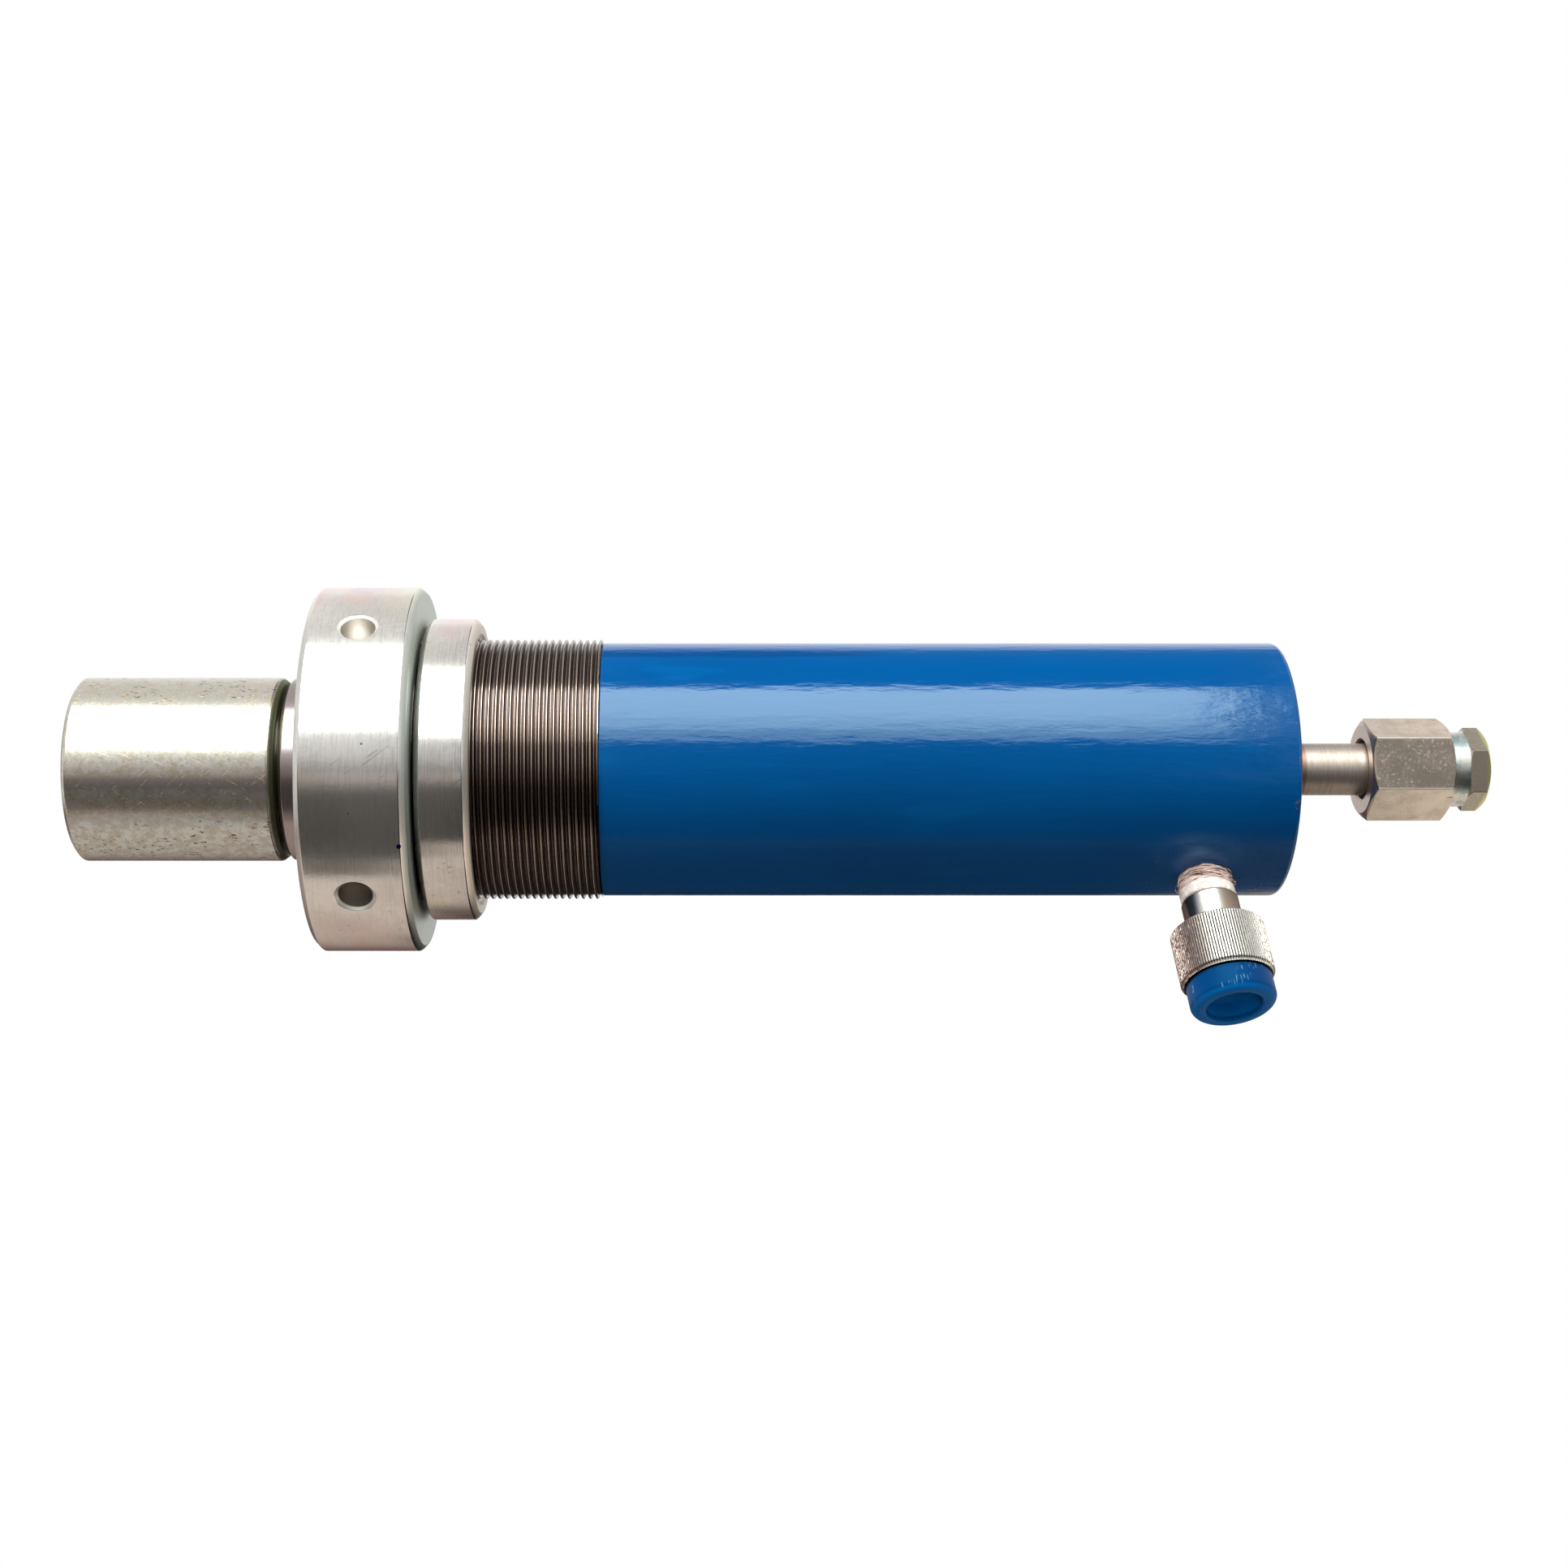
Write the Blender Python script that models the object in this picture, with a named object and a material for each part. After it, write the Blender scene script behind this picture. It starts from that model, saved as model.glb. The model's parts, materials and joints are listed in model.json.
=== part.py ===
# Single-acting hydraulic ram with a threaded collar, two ring nuts, a capped plunger with an
# inner return spring, a side coupler with its dust cap and a plugged rear pipe union.
# Metres, +Z up. The plunger leaves the barrel towards -X. The origin is on the ram's axis, in
# the plane of the ring nut's rear face, where a press head takes the load.
import math

import bmesh
import bpy
from mathutils import Vector

# Clearances and facets
GAP = 0.0003
LAND_CLEARANCE = 0.0006
LARGE_SEGMENTS = 40
MEDIUM_SEGMENTS = 28
SMALL_SEGMENTS = 20
PIN_SEGMENTS = 12

# The main radii, each built out from the plunger's
ROD_RADIUS = 0.02625
BORE_CLEARANCE = 0.00375
TUBE_WALL = 0.0065
THREAD_RISE = 0.001
LOCK_RING_RISE = 0.006
RING_NUT_RISE = 0.015
BORE_RADIUS = ROD_RADIUS + BORE_CLEARANCE
BARREL_RADIUS = BORE_RADIUS + TUBE_WALL
THREAD_RADIUS = BARREL_RADIUS + THREAD_RISE
LOCK_RING_RADIUS = THREAD_RADIUS + LOCK_RING_RISE
RING_NUT_RADIUS = THREAD_RADIUS + RING_NUT_RISE

# Ring nuts on the collar thread
THREAD_PITCH = 0.002
THREAD_DEPTH = 0.0013
THREAD_SHOWN = 0.035
RING_NUT_WIDTH = 0.030
RING_NUT_CHAMFER = 0.0016
SEAT_RELIEF = 0.0004
SEAT_MARGIN = 0.0008
RING_GAP = 0.001
LOCK_RING_WIDTH = 0.015
LOCK_RING_CHAMFER = 0.0018
RING_BORE_CHAMFER = 0.0014
TOMMY_HOLE_COUNT = 4
TOMMY_HOLE_RADIUS = 0.0052
TOMMY_HOLE_DEPTH = 0.011
TOMMY_COUNTERSINK = 0.0009
TOMMY_PHASE = math.radians(48.5)

# Barrel, collar and gland
BARREL_EDGE = 0.0008
COLLAR_RECESS = 0.002
COLLAR_CHAMFER = 0.0012
REGISTER_LENGTH = 0.005
REGISTER_WALL = 0.0028
WIPER_WIDTH = 0.007
WIPER_LIP = 0.0012
ROD_SEAL_WIDTH = 0.008
GUIDE_BUSH_WIDTH = 0.0205
GUIDE_BUSH_WALL = 0.002
GLAND_LAND = 0.0035
SEAL_SECTION = 0.004
SEAL_NOTCH = 0.0022

# Plunger, piston and rod cap
STROKE = 0.150
ROD_SHOWN = 0.009
ROD_CHAMFER = 0.0012
PLUNGER_WALL = 0.00975
NOSE_STEP = 0.00525
NOSE_LENGTH = 0.030
NOSE_BORE_STEP = 0.004
NOSE_WALL = 0.008
NOSE_CHAMFER = 0.0015
BORE_STEP_DEPTH = 0.006
CAP_RISE = 0.00025
CAP_LENGTH = 0.0595
CAP_GROOVE = 0.001
CAP_CHAMFER = 0.0018
PISTON_SEAT_WALL = 0.0055
PISTON_LAND = 0.004
PISTON_GUIDE_WIDTH = 0.007
PISTON_GUIDE_DEPTH = 0.0025
PISTON_SEAL_WIDTH = 0.009
PISTON_SEAL_DEPTH = 0.0042
BACKUP_WIDTH = 0.002
PISTON_NUT_WIDTH = 0.0091
PISTON_NUT_PLAY = 0.0025
PISTON_NUT_CHAMFER = 0.001
NUT_NOTCH_COUNT = 4
NUT_NOTCH_WIDTH = 0.006
NUT_NOTCH_DEPTH = 0.0025

# Return spring and the two pins that hold its hooks
SPRING_CLEARANCE = 0.0055
WIRE_RADIUS = 0.0018
SPRING_TURNS = 14
SPRING_STEPS = 8
HOOK_STEPS = 8
HOOK_SWEEP = math.radians(250)
HOOK_LEAD = 0.027
PIN_RADIUS = 0.004
PIN_CHAMFER = 0.0006
NOSE_PIN_DEPTH = 0.013
BASE_PIN_DEPTH = 0.010

# Hexagons: how far the turned end face stays inside the flats, and the slope of its chamfer
HEX_FACE_STEP = 0.0004
HEX_CHAMFER_ANGLE = math.radians(30)

# Base of the barrel and the rear pipe union
BASE_LENGTH = 0.0382
BASE_CHAMFER = 0.001
POCKET_WALL = 0.016
POCKET_DEPTH = 0.020
GALLERY_RADIUS = 0.003
PIPE_RADIUS = 0.0075
PIPE_WALL = 0.004
PIPE_SOCKET_DEPTH = 0.010
PIPE_SHOWN = 0.0261
BRAZE_LEG = 0.0019
UNION_FLATS = 0.026
UNION_LENGTH = 0.0237
UNION_BORE_PLAY = 0.0011
UNION_SHOULDER = 0.0055
UNION_THREAD_RADIUS = 0.011
UNION_FACET_ANGLE = math.radians(7.7)
SLEEVE_CLEARANCE = 0.0005
FLARE_LENGTH = 0.008
FLARE_CONE = 0.0025
PLUG_FLATS = 0.021
PLUG_COLLAR_RADIUS = 0.0108
PLUG_COLLAR_WIDTH = 0.0042
PLUG_HEX_LENGTH = 0.0063
PLUG_SHANK_LENGTH = 0.0075
PLUG_SHANK_PLAY = 0.0004
PLUG_LEAD_IN = 0.0012
PLUG_COLLAR_BLEND = 0.0005
PLUG_FACET_ANGLE = math.radians(-3.0)
PLUG_BLIND_RADIUS = 0.0045
PLUG_BLIND_DEPTH = 0.008

# Side coupler, measured outwards from the barrel's surface along the coupler's own axis
COUPLER_SETBACK = 0.0237
COUPLER_EMERGENCE = math.radians(57)
COUPLER_HEADING = math.radians(55)
COUPLER_LEAN = math.radians(4.5)
SHANK_RADIUS = 0.0064
SHANK_DEPTH = 0.012
WRAP_THICKNESS = 0.0008
WRAP_TOP = 0.0042
TAPE_TOP = 0.0073
TAPE_THICKNESS = 0.001
WRAP_DEPTH = 0.004
NIPPLE_RADIUS = 0.0079
NIPPLE_CHAMFER = 0.0006
SLEEVE_START = 0.0170
SLEEVE_LENGTH = 0.0165
SLEEVE_RADIUS = 0.0129
SLEEVE_CHAMFER = 0.0012
SLEEVE_LIP = 0.0021
SLEEVE_THREAD_RADIUS = 0.0106
RETAINER_RADIUS = 0.0009
RETAINER_BITE = 0.0006
COUPLER_NOSE_SETBACK = 0.0035
COUPLER_BORE_RADIUS = 0.0025
VALVE_BORE_RADIUS = 0.0048
VALVE_BORE_LENGTH = 0.0125
VALVE_SEAT_RADIUS = 0.0032
VALVE_SEAT_LENGTH = 0.003
O_RING_RADIUS = 0.0009
POPPET_RADIUS = 0.0044
POPPET_HEAD = 0.0034
POPPET_STEM_RADIUS = 0.0018
POPPET_STEM_LENGTH = 0.0045
VALVE_WIRE_RADIUS = 0.0004
VALVE_TURNS = 4
VALVE_STEPS = 8
CAP_HEAD_RADIUS = 0.01175
CAP_HEAD_LENGTH = 0.0076
CAP_HEAD_ROUND = 0.0020
CAP_SKIRT_LENGTH = 0.0078
CAP_SKIRT_WALL = 0.0014
CAP_RECESS_RADIUS = 0.0078
CAP_RECESS_DEPTH = 0.0062
CAP_RECESS_TAPER = 0.0018
CAP_FLOOR = 0.0015

# Stations along the ram's axis, from the ring nut's rear face
RING_FRONT = -RING_NUT_WIDTH
LOCK_FRONT = RING_GAP
LOCK_REAR = LOCK_FRONT + LOCK_RING_WIDTH
TUBE_FRONT = LOCK_REAR + THREAD_SHOWN
COLLAR_FRONT = RING_FRONT + COLLAR_RECESS
WIPER_REAR = COLLAR_FRONT + WIPER_WIDTH
ROD_SEAL_FRONT = WIPER_REAR + GLAND_LAND
ROD_SEAL_REAR = ROD_SEAL_FRONT + ROD_SEAL_WIDTH
GUIDE_FRONT = ROD_SEAL_REAR + GLAND_LAND
GUIDE_REAR = GUIDE_FRONT + GUIDE_BUSH_WIDTH
STOP_FACE = GUIDE_REAR + GLAND_LAND
PISTON_FRONT = STOP_FACE + STROKE + GAP
PISTON_GUIDE_FRONT = PISTON_FRONT + PISTON_LAND
PISTON_GUIDE_REAR = PISTON_GUIDE_FRONT + PISTON_GUIDE_WIDTH
PISTON_SEAL_FRONT = PISTON_GUIDE_REAR + PISTON_LAND
PISTON_SEAL_REAR = PISTON_SEAL_FRONT + PISTON_SEAL_WIDTH
PISTON_REAR = PISTON_SEAL_REAR + PISTON_LAND
PLUNGER_REAR = PISTON_REAR + GAP + PISTON_NUT_WIDTH
BASE_FRONT = PLUNGER_REAR + GAP
TUBE_REAR = BASE_FRONT + BASE_LENGTH
SHOULDER = RING_FRONT - ROD_SHOWN
NOSE_FRONT = SHOULDER - NOSE_LENGTH
CAP_REAR = SHOULDER - CAP_GROOVE
CAP_FRONT = CAP_REAR - CAP_LENGTH
NOSE_PIN_X = SHOULDER - NOSE_PIN_DEPTH
BASE_PIN_X = BASE_FRONT + BASE_PIN_DEPTH
UNION_FRONT = TUBE_REAR + PIPE_SHOWN
UNION_REAR = UNION_FRONT + UNION_LENGTH
UNION_SEAT = UNION_FRONT + UNION_SHOULDER
PLUG_FRONT = UNION_REAR + GAP
PLUG_HEX_FRONT = PLUG_FRONT + PLUG_COLLAR_WIDTH
PLUG_REAR = PLUG_HEX_FRONT + PLUG_HEX_LENGTH
PLUG_NOSE = PLUG_FRONT - PLUG_SHANK_LENGTH
PIPE_REAR = PLUG_NOSE - GAP

# Radii that follow from the fits
PLUNGER_BORE_RADIUS = ROD_RADIUS - PLUNGER_WALL
NOSE_RADIUS = ROD_RADIUS - NOSE_STEP
NOSE_BORE_RADIUS = PLUNGER_BORE_RADIUS - NOSE_BORE_STEP
CAP_RADIUS = ROD_RADIUS + CAP_RISE
SPRING_RADIUS = PLUNGER_BORE_RADIUS - SPRING_CLEARANCE
POCKET_RADIUS = BORE_RADIUS - POCKET_WALL
PISTON_NUT_RADIUS = BORE_RADIUS - PISTON_NUT_PLAY
SEAT_INNER_RADIUS = LOCK_RING_RADIUS + SEAT_MARGIN
LAND_RADIUS = ROD_RADIUS + LAND_CLEARANCE
GLAND_SEAT_RADIUS = ROD_RADIUS + GAP + SEAL_SECTION
ROD_RING_RADIUS = ROD_RADIUS + GAP
RING_BORE_RADIUS = THREAD_RADIUS + GAP
PISTON_RADIUS = BORE_RADIUS - LAND_CLEARANCE
PISTON_RING_RADIUS = BORE_RADIUS - GAP
PISTON_SEAT_RADIUS = PLUNGER_BORE_RADIUS + PISTON_SEAT_WALL
HOOK_RADIUS = PIN_RADIUS + WIRE_RADIUS + GAP
SLEEVE_BORE_RADIUS = NIPPLE_RADIUS + GAP
WRAP_RADIUS = SHANK_RADIUS + GAP + WRAP_THICKNESS
SLEEVE_END = SLEEVE_START + SLEEVE_LENGTH

# The coupler leaves the barrel low on the side that faces the user and leans to the rear
COUPLER_BASE = Vector((
    TUBE_REAR - COUPLER_SETBACK,
    -BARREL_RADIUS * math.cos(COUPLER_EMERGENCE),
    -BARREL_RADIUS * math.sin(COUPLER_EMERGENCE),
))
COUPLER_AXIS = Vector((
    math.sin(COUPLER_LEAN),
    -math.cos(COUPLER_LEAN) * math.cos(COUPLER_HEADING),
    -math.cos(COUPLER_LEAN) * math.sin(COUPLER_HEADING),
))
# Across the ram, towards the coupler, and the way both spring pins lie, square to it
SIDEWAYS = Vector((0.0, -math.cos(COUPLER_HEADING), -math.sin(COUPLER_HEADING)))
PIN_DIRECTION = Vector((0.0, math.sin(COUPLER_HEADING), -math.cos(COUPLER_HEADING)))

MATERIALS = {
    "blue_paint": ((0.0, 0.085, 0.33, 1.0), 0.25, 0.0),
    "dark_steel": ((0.10, 0.075, 0.06, 1.0), 0.35, 1.0),
    "zinc_plate": ((0.62, 0.60, 0.54, 1.0), 0.32, 1.0),
    "turned_steel": ((0.66, 0.66, 0.66, 1.0), 0.25, 1.0),
    "ground_steel": ((0.52, 0.47, 0.48, 1.0), 0.18, 1.0),
    "bronze": ((0.62, 0.40, 0.18, 1.0), 0.35, 1.0),
    "seal_polymer": ((0.03, 0.03, 0.035, 1.0), 0.5, 0.0),
    "wear_polymer": ((0.35, 0.16, 0.06, 1.0), 0.55, 0.0),
    "spring_steel": ((0.25, 0.25, 0.27, 1.0), 0.3, 1.0),
    "nickel_plate": ((0.58, 0.54, 0.49, 1.0), 0.35, 1.0),
    "braze": ((0.66, 0.36, 0.16, 1.0), 0.45, 1.0),
    "hemp": ((0.58, 0.42, 0.33, 1.0), 0.9, 0.0),
    "tape": ((0.78, 0.76, 0.72, 1.0), 0.7, 0.0),
    "blue_plastic": ((0.0, 0.11, 0.36, 1.0), 0.35, 0.0),
}


def clear_scene():
    for thing in list(bpy.data.objects):
        bpy.data.objects.remove(thing, do_unlink=True)


def make_materials():
    for name, (colour, roughness, metallic) in MATERIALS.items():
        material = bpy.data.materials.new(name)
        material.use_nodes = True
        shader = material.node_tree.nodes["Principled BSDF"]
        shader.inputs["Base Color"].default_value = colour
        shader.inputs["Roughness"].default_value = roughness
        shader.inputs["Metallic"].default_value = metallic
        material.diffuse_color = colour


def add_object(name, mesh_data, finish):
    thing = bpy.data.objects.new(name, mesh_data)
    bpy.context.collection.objects.link(thing)
    if finish:
        mesh_data.materials.append(bpy.data.materials[finish])
    return thing


def finish_mesh(name, bm, finish):
    bmesh.ops.remove_doubles(bm, verts=bm.verts, dist=1e-7)
    bmesh.ops.recalc_face_normals(bm, faces=bm.faces)
    mesh = bpy.data.meshes.new(name)
    bm.to_mesh(mesh)
    bm.free()
    mesh.shade_smooth()
    mesh.set_sharp_from_angle(angle=math.radians(28))
    return add_object(name, mesh, finish)


# A profile is a list of (x, radius) points. It is spun about the object's own X axis. One that
# ends on the axis makes a solid bar, and any other is closed into a ring.
def turned(name, profile, segments, finish=None):
    bm = bmesh.new()
    points = [bm.verts.new((x, radius, 0.0)) for x, radius in profile]
    edges = [bm.edges.new(pair) for pair in zip(points, points[1:])]
    if profile[0][1] > 0.0:
        edges.append(bm.edges.new((points[-1], points[0])))
    bmesh.ops.spin(
        bm,
        geom=points + edges,
        cent=(0.0, 0.0, 0.0),
        axis=(1.0, 0.0, 0.0),
        angle=math.tau,
        steps=segments,
        use_merge=True,
    )
    return finish_mesh(name, bm, finish)


# The outline of a bar's outer side, front to rear, with a chamfer at each end that has one
def bar(front, rear, radius, front_chamfer=0.0, rear_chamfer=0.0):
    outline = []
    if front_chamfer:
        outline.append((front, radius - front_chamfer))
    outline.append((front + front_chamfer, radius))
    outline.append((rear - rear_chamfer, radius))
    if rear_chamfer:
        outline.append((rear, radius - rear_chamfer))
    return outline


def solid(outline):
    return [(outline[0][0], 0.0)] + outline + [(outline[-1][0], 0.0)]


# A plain washer or sleeve
def ring(front, rear, outer, inner, chamfer=0.0):
    return bar(front, rear, outer, chamfer, chamfer) + [(rear, inner), (front, inner)]


# A ring of round section, such as an O-ring
def round_ring(name, middle, centre_radius, section_radius, segments, finish, sides=8):
    profile = []
    for side in range(sides):
        angle = math.tau * side / sides
        profile.append((
            middle + section_radius * math.cos(angle),
            centre_radius + section_radius * math.sin(angle),
        ))
    return turned(name, profile, segments, finish)


def place(thing, point, direction, parent=None):
    thing.rotation_mode = "QUATERNION"
    thing.rotation_quaternion = Vector((1.0, 0.0, 0.0)).rotation_difference(direction)
    thing.location = point
    thing.parent = parent
    return thing


def make_cutter(thing):
    thing.hide_render = True
    thing.display_type = "WIRE"
    return thing


def combine(target, other, operation="DIFFERENCE"):
    make_cutter(other)
    modifier = target.modifiers.new(other.name, "BOOLEAN")
    modifier.operation = operation
    modifier.solver = "EXACT"
    modifier.object = other


# A prism about the object's own X axis. One flat faces -Y, turned up by the facet angle.
def prism(name, front, rear, flats, facet_angle, finish=None):
    corner_radius = flats / 2 / math.cos(math.pi / 6)
    bm = bmesh.new()
    corners = []
    for corner in range(6):
        angle = math.pi + math.pi / 6 - facet_angle + corner * math.tau / 6
        corners.append(bm.verts.new((
            front, corner_radius * math.cos(angle), corner_radius * math.sin(angle))))
    face = bm.faces.new(corners)
    sides = bmesh.ops.extrude_face_region(bm, geom=[face])
    moved = [item for item in sides["geom"] if isinstance(item, bmesh.types.BMVert)]
    bmesh.ops.translate(bm, verts=moved, vec=(rear - front, 0.0, 0.0))
    return finish_mesh(name, bm, finish)


# The outer side of the turned form that chamfers a hexagon's corners at both ends
def hex_form(front, rear, flats):
    face_radius = flats / 2 - HEX_FACE_STEP
    clear_radius = flats / 2 / math.cos(math.pi / 6) + HEX_FACE_STEP
    depth = (clear_radius - face_radius) * math.tan(HEX_CHAMFER_ANGLE)
    return [
        (front, face_radius),
        (front + depth, clear_radius),
        (rear - depth, clear_radius),
        (rear, face_radius),
    ]


def wire(name, points, wire_radius, finish, bevel_resolution=1):
    curve = bpy.data.curves.new(name, "CURVE")
    curve.dimensions = "3D"
    curve.bevel_depth = wire_radius
    curve.bevel_resolution = bevel_resolution
    curve.use_fill_caps = True
    spline = curve.splines.new("POLY")
    spline.points.add(len(points) - 1)
    for target, point in zip(spline.points, points):
        target.co = (point[0], point[1], point[2], 1.0)
    return add_object(name, curve, finish)


# The crests and roots of the thread's turns from front to rear, as rings. The last root meets rear.
def thread_outline(front, rear):
    turns = math.ceil((rear - front) / THREAD_PITCH)
    outline = []
    for turn in range(turns, 0, -1):
        crest = rear - (turn - 0.5) * THREAD_PITCH
        outline.append((crest, THREAD_RADIUS))
        outline.append((crest + THREAD_PITCH / 2, THREAD_RADIUS - THREAD_DEPTH))
    return outline


def make_collar():
    register_radius = BORE_RADIUS + REGISTER_WALL
    collar_rear = TUBE_FRONT - GAP
    outer = [
        (COLLAR_FRONT, THREAD_RADIUS - COLLAR_CHAMFER),
        (COLLAR_FRONT + COLLAR_CHAMFER, THREAD_RADIUS),
    ]
    outer += thread_outline(LOCK_REAR, collar_rear)
    outer += [
        (collar_rear, register_radius),
        (TUBE_FRONT + REGISTER_LENGTH, register_radius),
    ]
    guide_seat = ROD_RADIUS + GAP + GUIDE_BUSH_WALL + GAP
    inner = [
        (TUBE_FRONT + REGISTER_LENGTH, BORE_RADIUS),
        (STOP_FACE, BORE_RADIUS),
        (STOP_FACE, LAND_RADIUS),
        (GUIDE_REAR, LAND_RADIUS),
        (GUIDE_REAR, guide_seat),
        (GUIDE_FRONT, guide_seat),
        (GUIDE_FRONT, LAND_RADIUS),
        (ROD_SEAL_REAR, LAND_RADIUS),
        (ROD_SEAL_REAR, GLAND_SEAT_RADIUS),
        (ROD_SEAL_FRONT, GLAND_SEAT_RADIUS),
        (ROD_SEAL_FRONT, LAND_RADIUS),
        (WIPER_REAR, LAND_RADIUS),
        (WIPER_REAR, GLAND_SEAT_RADIUS),
        (COLLAR_FRONT, GLAND_SEAT_RADIUS),
    ]
    turned("threaded_collar", outer + inner, LARGE_SEGMENTS, "dark_steel")


def make_gland_rings():
    outer_radius = GLAND_SEAT_RADIUS - GAP
    wiper = [
        (COLLAR_FRONT, outer_radius),
        (WIPER_REAR - GAP, outer_radius),
        (WIPER_REAR - GAP, LAND_RADIUS + SEAL_SECTION / 3),
        (COLLAR_FRONT + WIPER_LIP, LAND_RADIUS + SEAL_SECTION / 3),
        (COLLAR_FRONT - WIPER_LIP, ROD_RING_RADIUS),
        (COLLAR_FRONT - WIPER_LIP, ROD_RING_RADIUS + SEAL_SECTION / 3),
    ]
    turned("rod_wiper", wiper, MEDIUM_SEGMENTS, "seal_polymer")
    front = ROD_SEAL_FRONT + GAP
    rear = ROD_SEAL_REAR - GAP
    middle = (outer_radius + ROD_RING_RADIUS) / 2
    cup = [
        (front, outer_radius),
        (rear, outer_radius),
        (rear - SEAL_NOTCH, middle),
        (rear, ROD_RING_RADIUS),
        (front, ROD_RING_RADIUS),
    ]
    turned("rod_seal", cup, MEDIUM_SEGMENTS, "seal_polymer")
    bush = ring(
        GUIDE_FRONT + GAP, GUIDE_REAR - GAP, ROD_RING_RADIUS + GUIDE_BUSH_WALL, ROD_RING_RADIUS)
    turned("guide_bush", bush, MEDIUM_SEGMENTS, "bronze")


def make_barrel():
    register_seat = BORE_RADIUS + REGISTER_WALL + GAP
    profile = bar(TUBE_FRONT, TUBE_REAR, BARREL_RADIUS, BARREL_EDGE, BARREL_EDGE)
    profile += [
        (TUBE_REAR, BORE_RADIUS),
        (TUBE_FRONT + REGISTER_LENGTH + GAP, BORE_RADIUS),
        (TUBE_FRONT + REGISTER_LENGTH + GAP, register_seat),
        (TUBE_FRONT, register_seat),
    ]
    tube = turned("barrel_tube", profile, LARGE_SEGMENTS, "blue_paint")
    reach = 2 * (BARREL_RADIUS - BORE_RADIUS)
    hole = turned("port_hole_cutter", solid(bar(-reach, reach, WRAP_RADIUS + GAP)), SMALL_SEGMENTS)
    place(hole, COUPLER_BASE, COUPLER_AXIS)
    combine(tube, hole)


def make_base_plug():
    socket_front = TUBE_REAR - PIPE_SOCKET_DEPTH
    pocket_rear = BASE_FRONT + POCKET_DEPTH
    profile = bar(BASE_FRONT, TUBE_REAR, BORE_RADIUS - GAP, BASE_CHAMFER)
    profile += [
        (TUBE_REAR, PIPE_RADIUS + GAP),
        (socket_front, PIPE_RADIUS + GAP),
        (socket_front, GALLERY_RADIUS),
        (pocket_rear, GALLERY_RADIUS),
        (pocket_rear, POCKET_RADIUS),
        (BASE_FRONT, POCKET_RADIUS),
    ]
    base = turned("base_plug", profile, LARGE_SEGMENTS, "dark_steel")
    pin_hole = turned(
        "base_pin_hole_cutter",
        solid(bar(-BARREL_RADIUS, BARREL_RADIUS, PIN_RADIUS + GAP)),
        PIN_SEGMENTS,
    )
    place(pin_hole, (BASE_PIN_X, 0.0, 0.0), PIN_DIRECTION)
    combine(base, pin_hole)
    thread_end = -SHANK_DEPTH - GAP
    port = turned(
        "base_port_cutter",
        solid([
            (-BARREL_RADIUS + POCKET_RADIUS / 2, COUPLER_BORE_RADIUS),
            (thread_end, COUPLER_BORE_RADIUS),
            (thread_end, SHANK_RADIUS + GAP),
            (SHANK_DEPTH, SHANK_RADIUS + GAP),
        ]),
        PIN_SEGMENTS,
    )
    place(port, COUPLER_BASE, COUPLER_AXIS)
    combine(base, port)


def make_plunger():
    outer = [
        (NOSE_FRONT, NOSE_RADIUS - NOSE_CHAMFER),
        (NOSE_FRONT + NOSE_CHAMFER, NOSE_RADIUS),
        (SHOULDER, NOSE_RADIUS),
        (SHOULDER, ROD_RADIUS - ROD_CHAMFER),
        (SHOULDER + ROD_CHAMFER, ROD_RADIUS),
        (PISTON_FRONT - GAP, ROD_RADIUS),
        (PISTON_FRONT - GAP, PISTON_SEAT_RADIUS),
        (PLUNGER_REAR, PISTON_SEAT_RADIUS),
    ]
    step = SHOULDER + BORE_STEP_DEPTH
    bore_front = NOSE_FRONT + NOSE_WALL
    inner = [
        (PLUNGER_REAR, PLUNGER_BORE_RADIUS),
        (step, PLUNGER_BORE_RADIUS),
        (step, NOSE_BORE_RADIUS),
        (bore_front, NOSE_BORE_RADIUS),
        (bore_front, 0.0),
    ]
    plunger = turned(
        "plunger", [(NOSE_FRONT, 0.0)] + outer + inner, LARGE_SEGMENTS, "ground_steel")
    pin_hole = turned(
        "nose_pin_hole_cutter",
        solid(bar(-ROD_RADIUS, ROD_RADIUS, PIN_RADIUS + GAP)),
        PIN_SEGMENTS,
    )
    place(pin_hole, (NOSE_PIN_X, 0.0, 0.0), PIN_DIRECTION)
    combine(plunger, pin_hole)


def make_rod_cap():
    outer = bar(CAP_FRONT, CAP_REAR, CAP_RADIUS, CAP_CHAMFER, CAP_CHAMFER)
    inner = [
        (CAP_REAR, NOSE_RADIUS + GAP),
        (NOSE_FRONT - GAP, NOSE_RADIUS + GAP),
        (NOSE_FRONT - GAP, 0.0),
    ]
    turned("rod_cap", [(CAP_FRONT, 0.0)] + outer + inner, LARGE_SEGMENTS, "zinc_plate")


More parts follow.
